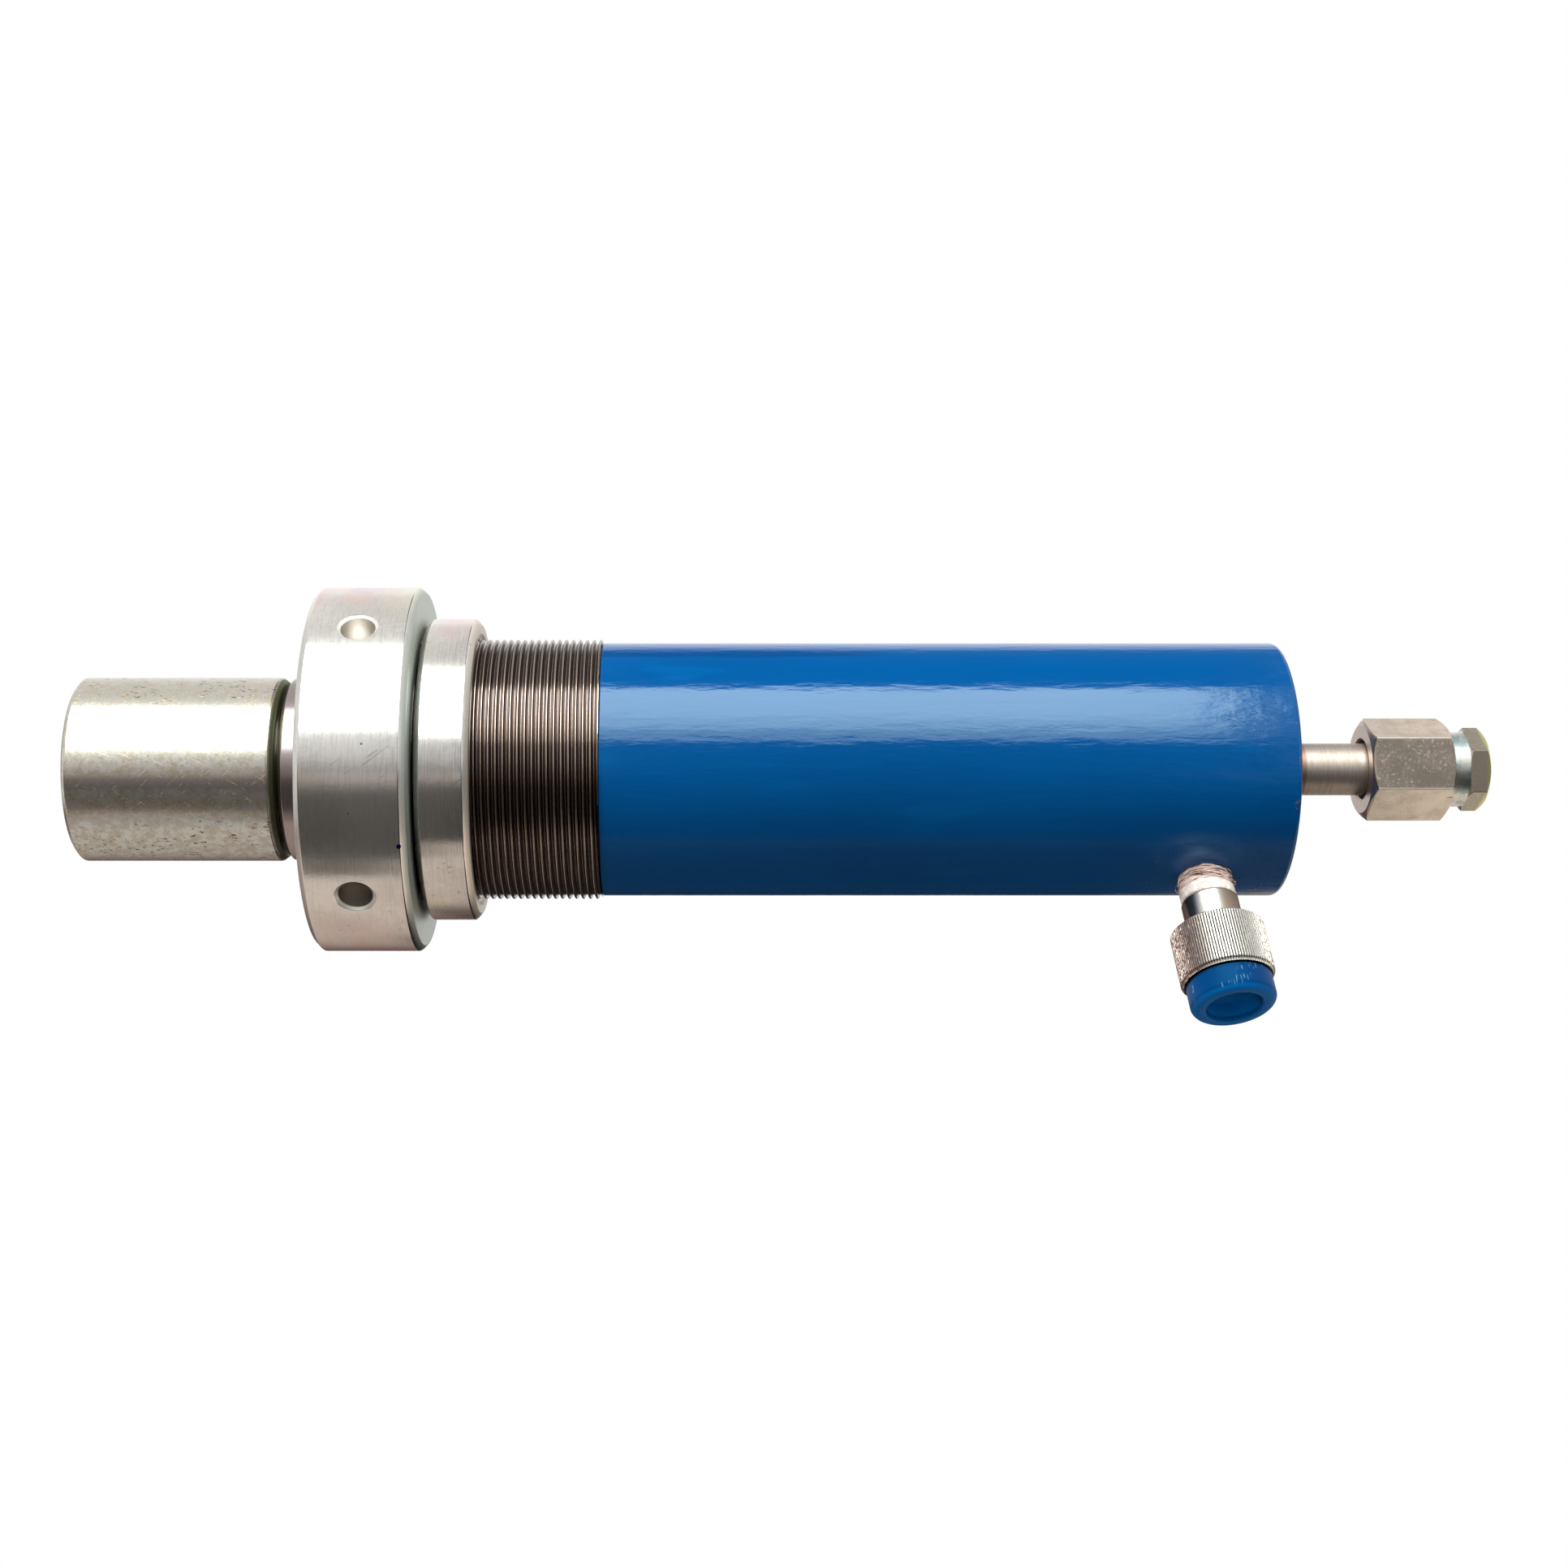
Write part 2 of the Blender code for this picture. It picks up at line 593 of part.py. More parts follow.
def make_piston():
    guide_bottom = PISTON_RADIUS - PISTON_GUIDE_DEPTH
    seal_bottom = PISTON_RADIUS - PISTON_SEAL_DEPTH
    profile = [
        (PISTON_FRONT, PISTON_RADIUS),
        (PISTON_GUIDE_FRONT, PISTON_RADIUS),
        (PISTON_GUIDE_FRONT, guide_bottom),
        (PISTON_GUIDE_REAR, guide_bottom),
        (PISTON_GUIDE_REAR, PISTON_RADIUS),
        (PISTON_SEAL_FRONT, PISTON_RADIUS),
        (PISTON_SEAL_FRONT, seal_bottom),
        (PISTON_SEAL_REAR, seal_bottom),
        (PISTON_SEAL_REAR, PISTON_RADIUS),
        (PISTON_REAR, PISTON_RADIUS),
        (PISTON_REAR, PISTON_SEAT_RADIUS + GAP),
        (PISTON_FRONT, PISTON_SEAT_RADIUS + GAP),
    ]
    turned("piston", profile, MEDIUM_SEGMENTS, "turned_steel")
    guide = ring(
        PISTON_GUIDE_FRONT + GAP, PISTON_GUIDE_REAR - GAP, PISTON_RING_RADIUS, guide_bottom + GAP)
    turned("piston_guide_ring", guide, MEDIUM_SEGMENTS, "wear_polymer")
    seal_inner = seal_bottom + GAP
    backup_front = PISTON_SEAL_FRONT + GAP
    backup_rear = backup_front + BACKUP_WIDTH
    backup = ring(backup_front, backup_rear, PISTON_RING_RADIUS, seal_inner)
    turned("piston_backup_ring", backup, MEDIUM_SEGMENTS, "wear_polymer")
    rear = PISTON_SEAL_REAR - GAP
    cup = [
        (backup_rear + GAP, PISTON_RING_RADIUS),
        (rear, PISTON_RING_RADIUS),
        (rear - SEAL_NOTCH, (PISTON_RING_RADIUS + seal_inner) / 2),
        (rear, seal_inner),
        (backup_rear + GAP, seal_inner),
    ]
    turned("piston_seal", cup, MEDIUM_SEGMENTS, "seal_polymer")


# The slotted nut that clamps the piston on the plunger's tail
def make_piston_nut():
    front = PISTON_REAR + GAP
    profile = ring(
        front, PLUNGER_REAR, PISTON_NUT_RADIUS, PISTON_SEAT_RADIUS + GAP, PISTON_NUT_CHAMFER)
    nut = turned("piston_nut", profile, MEDIUM_SEGMENTS, "turned_steel")
    for number in range(NUT_NOTCH_COUNT // 2):
        notch = notch_cutter("nut_notch_cutter_%d" % (number + 1), number * math.pi / 2)
        combine(nut, notch)


# A bar across the nut's rear face, which cuts two opposite notches
def notch_cutter(name, angle):
    bm = bmesh.new()
    bmesh.ops.create_cube(bm, size=1.0)
    notch = finish_mesh(name, bm, None)
    notch.scale = (2 * NUT_NOTCH_DEPTH, 3 * PISTON_NUT_RADIUS, NUT_NOTCH_WIDTH)
    notch.location = (PLUNGER_REAR, 0.0, 0.0)
    notch.rotation_euler = (angle, 0.0, 0.0)
    return notch


def make_pins():
    for name, x, half_length in (
        ("nose_spring_pin", NOSE_PIN_X, NOSE_RADIUS - GAP),
        ("base_spring_pin", BASE_PIN_X, BORE_RADIUS - 2 * GAP),
    ):
        profile = solid(bar(-half_length, half_length, PIN_RADIUS, PIN_CHAMFER, PIN_CHAMFER))
        pin = turned(name, profile, PIN_SEGMENTS, "spring_steel")
        place(pin, (x, 0.0, 0.0), PIN_DIRECTION)


# One hook and its lead-in, from the free end to the coil. Forward is +1 for the nose's hook.
def hook_points(pin_x, coil_x, forward):
    points = []
    for step in range(HOOK_STEPS + 1):
        angle = HOOK_SWEEP * (1 - step / HOOK_STEPS)
        x = pin_x - forward * HOOK_RADIUS * math.sin(angle)
        points.append(Vector((x, 0.0, 0.0)) + SIDEWAYS * HOOK_RADIUS * math.cos(angle))
    for share in (0.3, 0.6, 0.85):
        blend = share * share * (3 - 2 * share)
        radius = HOOK_RADIUS + (SPRING_RADIUS - HOOK_RADIUS) * blend
        points.append(Vector((pin_x + (coil_x - pin_x) * share, 0.0, 0.0)) + SIDEWAYS * radius)
    return points


def make_return_spring():
    coil_front = NOSE_PIN_X + HOOK_LEAD
    coil_rear = BASE_PIN_X - HOOK_LEAD
    count = SPRING_TURNS * SPRING_STEPS
    coil = []
    for step in range(count + 1):
        angle = math.tau * step / SPRING_STEPS
        x = coil_front + (coil_rear - coil_front) * step / count
        across = SIDEWAYS * math.cos(angle) + PIN_DIRECTION * math.sin(angle)
        coil.append(Vector((x, 0.0, 0.0)) + across * SPRING_RADIUS)
    front_hook = hook_points(NOSE_PIN_X, coil_front, 1.0)
    rear_hook = hook_points(BASE_PIN_X, coil_rear, -1.0)
    wire("return_spring", front_hook + coil + rear_hook[::-1], WIRE_RADIUS, "spring_steel")


# The rear seat is a raised land outside the lock ring, where a press head takes the load
def make_ring_nut():
    inner_edge = RING_BORE_RADIUS + RING_BORE_CHAMFER
    profile = bar(RING_FRONT, 0.0, RING_NUT_RADIUS, RING_NUT_CHAMFER, RING_NUT_CHAMFER)
    profile += [
        (0.0, SEAT_INNER_RADIUS),
        (-SEAT_RELIEF, SEAT_INNER_RADIUS),
        (-SEAT_RELIEF, inner_edge),
        (-SEAT_RELIEF - RING_BORE_CHAMFER, RING_BORE_RADIUS),
        (RING_FRONT + RING_BORE_CHAMFER, RING_BORE_RADIUS),
        (RING_FRONT, inner_edge),
    ]
    nut = turned("ring_nut", profile, LARGE_SEGMENTS, "turned_steel")
    for number in range(TOMMY_HOLE_COUNT):
        angle = TOMMY_PHASE + number * math.tau / TOMMY_HOLE_COUNT
        radial = Vector((0.0, -math.cos(angle), math.sin(angle)))
        rim = RING_NUT_RADIUS
        cutter = turned(
            "tommy_hole_cutter_%d" % (number + 1),
            solid([
                (rim - TOMMY_HOLE_DEPTH, TOMMY_HOLE_RADIUS),
                (rim - TOMMY_COUNTERSINK, TOMMY_HOLE_RADIUS),
                (rim + TOMMY_COUNTERSINK, TOMMY_HOLE_RADIUS + 2 * TOMMY_COUNTERSINK),
            ]),
            PIN_SEGMENTS,
        )
        place(cutter, (RING_FRONT / 2, 0.0, 0.0), radial)
        combine(nut, cutter)


def make_lock_ring():
    inner_edge = RING_BORE_RADIUS + RING_BORE_CHAMFER
    profile = bar(LOCK_FRONT, LOCK_REAR, LOCK_RING_RADIUS, LOCK_RING_CHAMFER, LOCK_RING_CHAMFER)
    profile += [
        (LOCK_REAR, inner_edge),
        (LOCK_REAR - RING_BORE_CHAMFER, RING_BORE_RADIUS),
        (LOCK_FRONT + RING_BORE_CHAMFER, RING_BORE_RADIUS),
        (LOCK_FRONT, inner_edge),
    ]
    turned("lock_ring", profile, LARGE_SEGMENTS, "turned_steel")


def make_stub_pipe():
    front = TUBE_REAR - PIPE_SOCKET_DEPTH + GAP
    pipe = ring(front, PIPE_REAR, PIPE_RADIUS, PIPE_RADIUS - PIPE_WALL)
    turned("stub_pipe", pipe, MEDIUM_SEGMENTS, "ground_steel")
    inner = PIPE_RADIUS + GAP
    fillet = [
        (TUBE_REAR + GAP, inner + BRAZE_LEG),
        (TUBE_REAR + GAP + BRAZE_LEG * 0.35, inner + BRAZE_LEG * 0.35),
        (TUBE_REAR + GAP + BRAZE_LEG, inner),
        (TUBE_REAR + GAP, inner),
    ]
    turned("pipe_braze", fillet, MEDIUM_SEGMENTS, "braze")
    flare_front = UNION_SEAT + GAP
    flare_rear = flare_front + FLARE_LENGTH
    flare_radius = UNION_THREAD_RADIUS - SLEEVE_CLEARANCE
    flare = [
        (flare_front, flare_radius),
        (flare_rear - FLARE_CONE, flare_radius),
        (flare_rear, flare_radius - FLARE_CONE / 2),
        (flare_rear, inner),
        (flare_front, inner),
    ]
    turned("pipe_collar", flare, MEDIUM_SEGMENTS, "turned_steel")


def make_union_nut():
    nut = prism(
        "union_nut", UNION_FRONT, UNION_REAR, UNION_FLATS, UNION_FACET_ANGLE, "nickel_plate")
    bore = PIPE_RADIUS + UNION_BORE_PLAY
    inner = [
        (UNION_REAR, UNION_THREAD_RADIUS),
        (UNION_SEAT, UNION_THREAD_RADIUS),
        (UNION_SEAT, bore),
        (UNION_FRONT, bore),
    ]
    outer = hex_form(UNION_FRONT, UNION_REAR, UNION_FLATS)
    form = turned("union_form_cutter", outer + inner, MEDIUM_SEGMENTS)
    combine(nut, form, "INTERSECT")


# A hexagon head on a round collar, with a blind-bored shank that screws into the union nut
def make_blanking_plug():
    plug = prism(
        "blanking_plug", PLUG_HEX_FRONT, PLUG_REAR, PLUG_FLATS, PLUG_FACET_ANGLE, "zinc_plate")
    head = turned(
        "plug_head_cutter",
        solid(hex_form(PLUG_HEX_FRONT, PLUG_REAR, PLUG_FLATS)),
        MEDIUM_SEGMENTS,
    )
    combine(plug, head, "INTERSECT")
    shank = UNION_THREAD_RADIUS - PLUG_SHANK_PLAY
    blind_end = PLUG_NOSE + PLUG_BLIND_DEPTH
    stem = turned(
        "plug_stem_form",
        [
            (blind_end, 0.0),
            (blind_end - PLUG_BLIND_RADIUS / 2, PLUG_BLIND_RADIUS),
            (PLUG_NOSE, PLUG_BLIND_RADIUS),
            (PLUG_NOSE, shank - PLUG_LEAD_IN),
            (PLUG_NOSE + PLUG_LEAD_IN, shank),
            (PLUG_FRONT, shank),
            (PLUG_FRONT, PLUG_COLLAR_RADIUS),
            (PLUG_HEX_FRONT + PLUG_COLLAR_BLEND, PLUG_COLLAR_RADIUS),
            (PLUG_HEX_FRONT + PLUG_COLLAR_BLEND, 0.0),
        ],
        MEDIUM_SEGMENTS,
    )
    combine(plug, stem, "UNION")


def coupler_frame():
    frame = bpy.data.objects.new("coupler_frame", None)
    bpy.context.collection.objects.link(frame)
    return place(frame, COUPLER_BASE, COUPLER_AXIS)


# The steel body runs from the port thread to the valve seat under the dust cap
def make_coupler_body(frame):
    nose_end = SLEEVE_END - COUPLER_NOSE_SETBACK
    seat_front = nose_end - VALVE_SEAT_LENGTH
    groove = SLEEVE_START + retainer_offset()
    groove_bottom = NIPPLE_RADIUS - RETAINER_RADIUS - RETAINER_BITE
    nose_radius = nose_outer_radius()
    seal_middle = seal_position()
    seal_bottom = nose_radius - 2 * O_RING_RADIUS
    outer = [
        (-SHANK_DEPTH, SHANK_RADIUS),
        (TAPE_TOP + GAP, SHANK_RADIUS),
        (TAPE_TOP + GAP, NIPPLE_RADIUS - NIPPLE_CHAMFER),
        (TAPE_TOP + GAP + NIPPLE_CHAMFER, NIPPLE_RADIUS),
        (groove - RETAINER_RADIUS - GAP, NIPPLE_RADIUS),
        (groove - RETAINER_RADIUS - GAP, groove_bottom),
        (groove + RETAINER_RADIUS + GAP, groove_bottom),
        (groove + RETAINER_RADIUS + GAP, nose_radius),
        (seal_middle - O_RING_RADIUS - GAP, nose_radius),
        (seal_middle - O_RING_RADIUS - GAP, seal_bottom),
        (seal_middle + O_RING_RADIUS + GAP, seal_bottom),
        (seal_middle + O_RING_RADIUS + GAP, nose_radius),
        (nose_end - NIPPLE_CHAMFER, nose_radius),
        (nose_end, nose_radius - NIPPLE_CHAMFER),
    ]
    inner = [
        (nose_end, VALVE_SEAT_RADIUS),
        (seat_front, VALVE_SEAT_RADIUS),
        (seat_front - (VALVE_BORE_RADIUS - VALVE_SEAT_RADIUS), VALVE_BORE_RADIUS),
        (nose_end - VALVE_SEAT_LENGTH - VALVE_BORE_LENGTH, VALVE_BORE_RADIUS),
        (nose_end - VALVE_SEAT_LENGTH - VALVE_BORE_LENGTH, COUPLER_BORE_RADIUS),
        (-SHANK_DEPTH, COUPLER_BORE_RADIUS),
    ]
    body = turned("coupler_body", outer + inner, SMALL_SEGMENTS, "nickel_plate")
    body.parent = frame
    retainer = round_ring(
        "sleeve_retaining_ring",
        groove,
        groove_bottom + GAP + RETAINER_RADIUS,
        RETAINER_RADIUS,
        SMALL_SEGMENTS,
        "spring_steel",
        6,
    )
    retainer.parent = frame
    seal = round_ring(
        "coupler_o_ring",
        seal_middle,
        seal_bottom + GAP + O_RING_RADIUS,
        O_RING_RADIUS,
        SMALL_SEGMENTS,
        "seal_polymer",
        6,
    )
    seal.parent = frame


# The retaining ring sits just past the sleeve's inner lip
def retainer_offset():
    return SLEEVE_LIP + 2 * GAP + RETAINER_RADIUS


# The dust cap's skirt slips over the nose and into the sleeve
def nose_outer_radius():
    return SLEEVE_THREAD_RADIUS - 2 * GAP - CAP_SKIRT_WALL - 2 * GAP


def seal_position():
    return SLEEVE_END - CAP_SKIRT_LENGTH + O_RING_RADIUS + 2 * GAP


def make_wraps(frame):
    inner = SHANK_RADIUS + GAP
    hemp = turned(
        "hemp_wrap",
        ring(-WRAP_DEPTH, WRAP_TOP, WRAP_RADIUS, inner),
        SMALL_SEGMENTS,
        "hemp",
    )
    hemp.parent = frame
    tape = turned(
        "tape_wrap",
        ring(WRAP_TOP + GAP, TAPE_TOP, inner + TAPE_THICKNESS, inner),
        SMALL_SEGMENTS,
        "tape",
    )
    tape.parent = frame


def make_coupler_sleeve(frame):
    lip_end = SLEEVE_START + SLEEVE_LIP
    profile = bar(SLEEVE_START, SLEEVE_END, SLEEVE_RADIUS, SLEEVE_CHAMFER, SLEEVE_CHAMFER)
    profile += [
        (SLEEVE_END, SLEEVE_THREAD_RADIUS),
        (lip_end, SLEEVE_THREAD_RADIUS),
        (lip_end, SLEEVE_BORE_RADIUS),
        (SLEEVE_START, SLEEVE_BORE_RADIUS),
    ]
    sleeve = turned("coupler_sleeve", profile, MEDIUM_SEGMENTS, "nickel_plate")
    sleeve.parent = frame


def make_dust_cap(frame):
    skirt_radius = SLEEVE_THREAD_RADIUS - 2 * GAP
    skirt_inner = skirt_radius - CAP_SKIRT_WALL
    head_start = SLEEVE_END + GAP
    head_end = head_start + CAP_HEAD_LENGTH
    recess_floor = head_end - CAP_RECESS_DEPTH
    skirt_floor = recess_floor - CAP_FLOOR
    rounding = []
    for degrees in (0, 30, 60, 90):
        angle = math.radians(degrees)
        rounding.append((
            head_end - CAP_HEAD_ROUND * (1 - math.sin(angle)),
            CAP_HEAD_RADIUS - CAP_HEAD_ROUND * (1 - math.cos(angle)),
        ))
    outer = [
        (SLEEVE_END - CAP_SKIRT_LENGTH, skirt_radius),
        (head_start, skirt_radius),
        (head_start, CAP_HEAD_RADIUS),
    ]
    recess = [
        (head_end, CAP_RECESS_RADIUS),
        (recess_floor, CAP_RECESS_RADIUS - CAP_RECESS_TAPER),
        (recess_floor, 0.0),
    ]
    inside = [
        (skirt_floor, 0.0),
        (skirt_floor, skirt_inner),
        (SLEEVE_END - CAP_SKIRT_LENGTH, skirt_inner),
    ]
    profile = inside + outer + rounding + recess
    cap = turned("dust_cap", profile, MEDIUM_SEGMENTS, "blue_plastic")
    cap.parent = frame


# The check valve under the cap: a poppet held shut by a small spring
def make_check_valve(frame):
    nose_end = SLEEVE_END - COUPLER_NOSE_SETBACK
    seat_front = nose_end - VALVE_SEAT_LENGTH
    slope = POPPET_RADIUS - VALVE_SEAT_RADIUS + GAP
    shoulder = seat_front - (VALVE_BORE_RADIUS - VALVE_SEAT_RADIUS) - GAP
    head_start = shoulder - POPPET_HEAD
    tip_radius = VALVE_SEAT_RADIUS - 2 * GAP
    poppet = turned(
        "check_poppet",
        solid([
            (head_start - POPPET_STEM_LENGTH, POPPET_STEM_RADIUS),
            (head_start, POPPET_STEM_RADIUS),
            (head_start, POPPET_RADIUS),
            (shoulder, POPPET_RADIUS),
            (shoulder + slope, tip_radius),
            (nose_end - 2 * GAP, tip_radius),
        ]),
        PIN_SEGMENTS,
        "spring_steel",
    )
    poppet.parent = frame
    spring_start = nose_end - VALVE_SEAT_LENGTH - VALVE_BORE_LENGTH + VALVE_WIRE_RADIUS + GAP
    spring_end = head_start - VALVE_WIRE_RADIUS - GAP
    coil_radius = (VALVE_BORE_RADIUS + POPPET_STEM_RADIUS) / 2
    count = VALVE_TURNS * VALVE_STEPS
    points = []
    for step in range(count + 1):
        angle = math.tau * step / VALVE_STEPS
        x = spring_start + (spring_end - spring_start) * step / count
        points.append((x, coil_radius * math.cos(angle), coil_radius * math.sin(angle)))
    spring = wire("valve_spring", points, VALVE_WIRE_RADIUS, "spring_steel", 0)
    spring.parent = frame


def build():
    clear_scene()
    make_materials()
    make_barrel()
    make_collar()
    make_gland_rings()
    make_base_plug()
    make_plunger()
    make_rod_cap()
    make_piston()
    make_piston_nut()
    make_pins()
    make_return_spring()
    make_ring_nut()
    make_lock_ring()
    make_stub_pipe()
    make_union_nut()
    make_blanking_plug()
    frame = coupler_frame()
    make_coupler_body(frame)
    make_wraps(frame)
    make_coupler_sleeve(frame)
    make_dust_cap(frame)
    make_check_valve(frame)


build()
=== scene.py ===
# Hydraulic press ram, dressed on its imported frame: blue barrel, cut collar thread, two ring nuts,
# zinc plated rod cap, brazed stub pipe with its union and plug, and the side coupler.
import json
import math
import bpy
from mathutils import Vector, Matrix, noise


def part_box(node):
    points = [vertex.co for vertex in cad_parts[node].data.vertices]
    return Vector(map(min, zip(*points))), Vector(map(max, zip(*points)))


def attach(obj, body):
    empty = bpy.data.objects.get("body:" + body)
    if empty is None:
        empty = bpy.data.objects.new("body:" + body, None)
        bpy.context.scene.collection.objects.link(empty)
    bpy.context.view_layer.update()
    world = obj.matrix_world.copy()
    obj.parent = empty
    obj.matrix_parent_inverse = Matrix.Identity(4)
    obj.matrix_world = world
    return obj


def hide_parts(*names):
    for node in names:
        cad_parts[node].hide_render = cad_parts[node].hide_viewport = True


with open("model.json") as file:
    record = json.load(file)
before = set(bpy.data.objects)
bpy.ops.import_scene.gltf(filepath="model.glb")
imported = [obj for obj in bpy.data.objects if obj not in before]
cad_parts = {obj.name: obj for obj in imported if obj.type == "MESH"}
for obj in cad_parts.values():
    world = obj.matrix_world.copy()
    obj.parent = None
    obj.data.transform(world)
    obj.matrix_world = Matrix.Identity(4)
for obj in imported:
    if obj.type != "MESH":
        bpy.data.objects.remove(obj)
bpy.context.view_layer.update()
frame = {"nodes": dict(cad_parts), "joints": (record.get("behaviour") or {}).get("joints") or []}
print("frame loaded:", len(frame["nodes"]), "nodes")

gap = 0.0003                 # clearance between pieces, as the solids have
ramBase, ramAxis = Vector((0, 0, 0)), Vector((1, 0, 0))


def boxOf(node):  # front, rear and outer radius of a node that lies on the ram's axis
    low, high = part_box(node)
    return low[0], high[0], (high[2] - low[2]) / 2


def layOn(base, direction):  # lays a shape that was made along X on another axis
    tilt = ramAxis.rotation_difference(direction).to_matrix().to_4x4()
    return Matrix.Translation(base) @ tilt


sleeveJoint = [j for j in frame["joints"] if j["name"] == "sleeve_turn"][0]
couplerBase = Vector(sleeveJoint["pos_m"])
couplerAxis = Vector(sleeveJoint["axis"]).normalized()
couplerTurn = layOn(couplerBase, couplerAxis)

# camera and studio
view = {
    "x": 0.080,            # the spot on the ram that the lens looks at squarely
    "distance": 0.654,
    "lens": 51.8,
    "sensor": 36,
    "shiftX": 0.0512,
    "shiftY": -0.0093,
    "nearest": 0.01,
    "farthest": 50,
}
studio = {
    # strips of the softbox: lowest and highest angle over the lens axis in degrees, and brightness
    "strips": ((25.5, 36.0, 3.0), (36.0, 46.0, 5.6), (46.0, 77.5, 6.9)),
    "boxReach": 1.2,
    "boxLeft": -0.62,
    "boxRight": 0.505,
    "lampColour": (1.0, 1.06, 1.01),
    "floorDepth": 0.6,
    "floorSize": 14,
    "floorColour": (0.62, 0.60, 0.58),
    "whiteFrom": 0.8,      # the floor runs out to pure white between these distances from the ram
    "whiteFull": 1.0,
    "backFrom": 0.7,       # reflections see it white between these distances behind the ram
    "backFull": 1.0,
    # brightness of the room by angle over the lens axis, and of its dimmer part across from the barrel
    "room": ((-180, 0.84), (-74, 0.50), (-63, 0.10), (-28, 0.095), (-12, 0.12), (-2, 0.24), (8, 0.64),
             (20, 0.76), (80, 0.78), (110, 0.80), (180, 0.84)),
    "dimRoom": ((-180, 0.84), (-74, 0.50), (-63, 0.06), (20, 0.04), (80, 0.03), (105, 0.03), (125, 0.06),
                (140, 0.15), (152, 0.84)),
    "dimPart": (-0.085, -0.060, 0.255, 0.275),
    "roomTint": (1, 0.985, 0.96),
    "beamHeight": (0.851, 0.857, 0.868, 0.874),   # a dark beam in the room, by share of the way round it
    "beamEnd": (0.062, 0.040),
    "beamColour": (0.02, 0.02, 0.02),
    # cards that keep the floor out of the lower reflections, each from one (y, z) edge to the other
    "blackCard": ((-0.235, -0.55), (-1.2, -0.04)),
    "warmCard": ((1.3, -0.30), (-0.225, -0.55)),
    "cardWidth": 3.4,
    "barrelShade": (-0.03, 0.0, 0.385, 0.415),    # the warm card is dark below the barrel
    "capGlow": (-0.080, -0.072, -0.03, -0.02),    # the black card is warm at its near edge by the ring nut
    "endGlow": (0.410, 0.435),
}
cardLook = {
    "black": (0.061, 0.056, 0.053), "grey": (0.34, 0.29, 0.275), "warm": (0.45, 0.375, 0.335),
    "shade": (0.02, 0.02, 0.02), "pale": (0.80, 0.68, 0.58), "deep": (0.002, 0.009, 0.015),
    "far": (0.15, 0.10, 0.09),
}


class Link:  # a node's output socket that can be used in sums
    def __init__(self, shader, socket):
        self.shader = shader
        self.socket = socket

    def output(self, name):  # another output of the same node
        return Link(self.shader, self.socket.node.outputs[name])

    def maths(self, operation, *others):
        return self.shader.maths(operation, self, *others)

    def __add__(self, other):
        return self.maths("ADD", other)

    def __sub__(self, other):
        return self.maths("SUBTRACT", other)

    def __rsub__(self, other):
        return self.shader.maths("SUBTRACT", other, self)

    def __mul__(self, other):
        return self.maths("MULTIPLY", other)

    def __truediv__(self, other):
        return self.maths("DIVIDE", other)

    __radd__ = __add__
    __rmul__ = __mul__


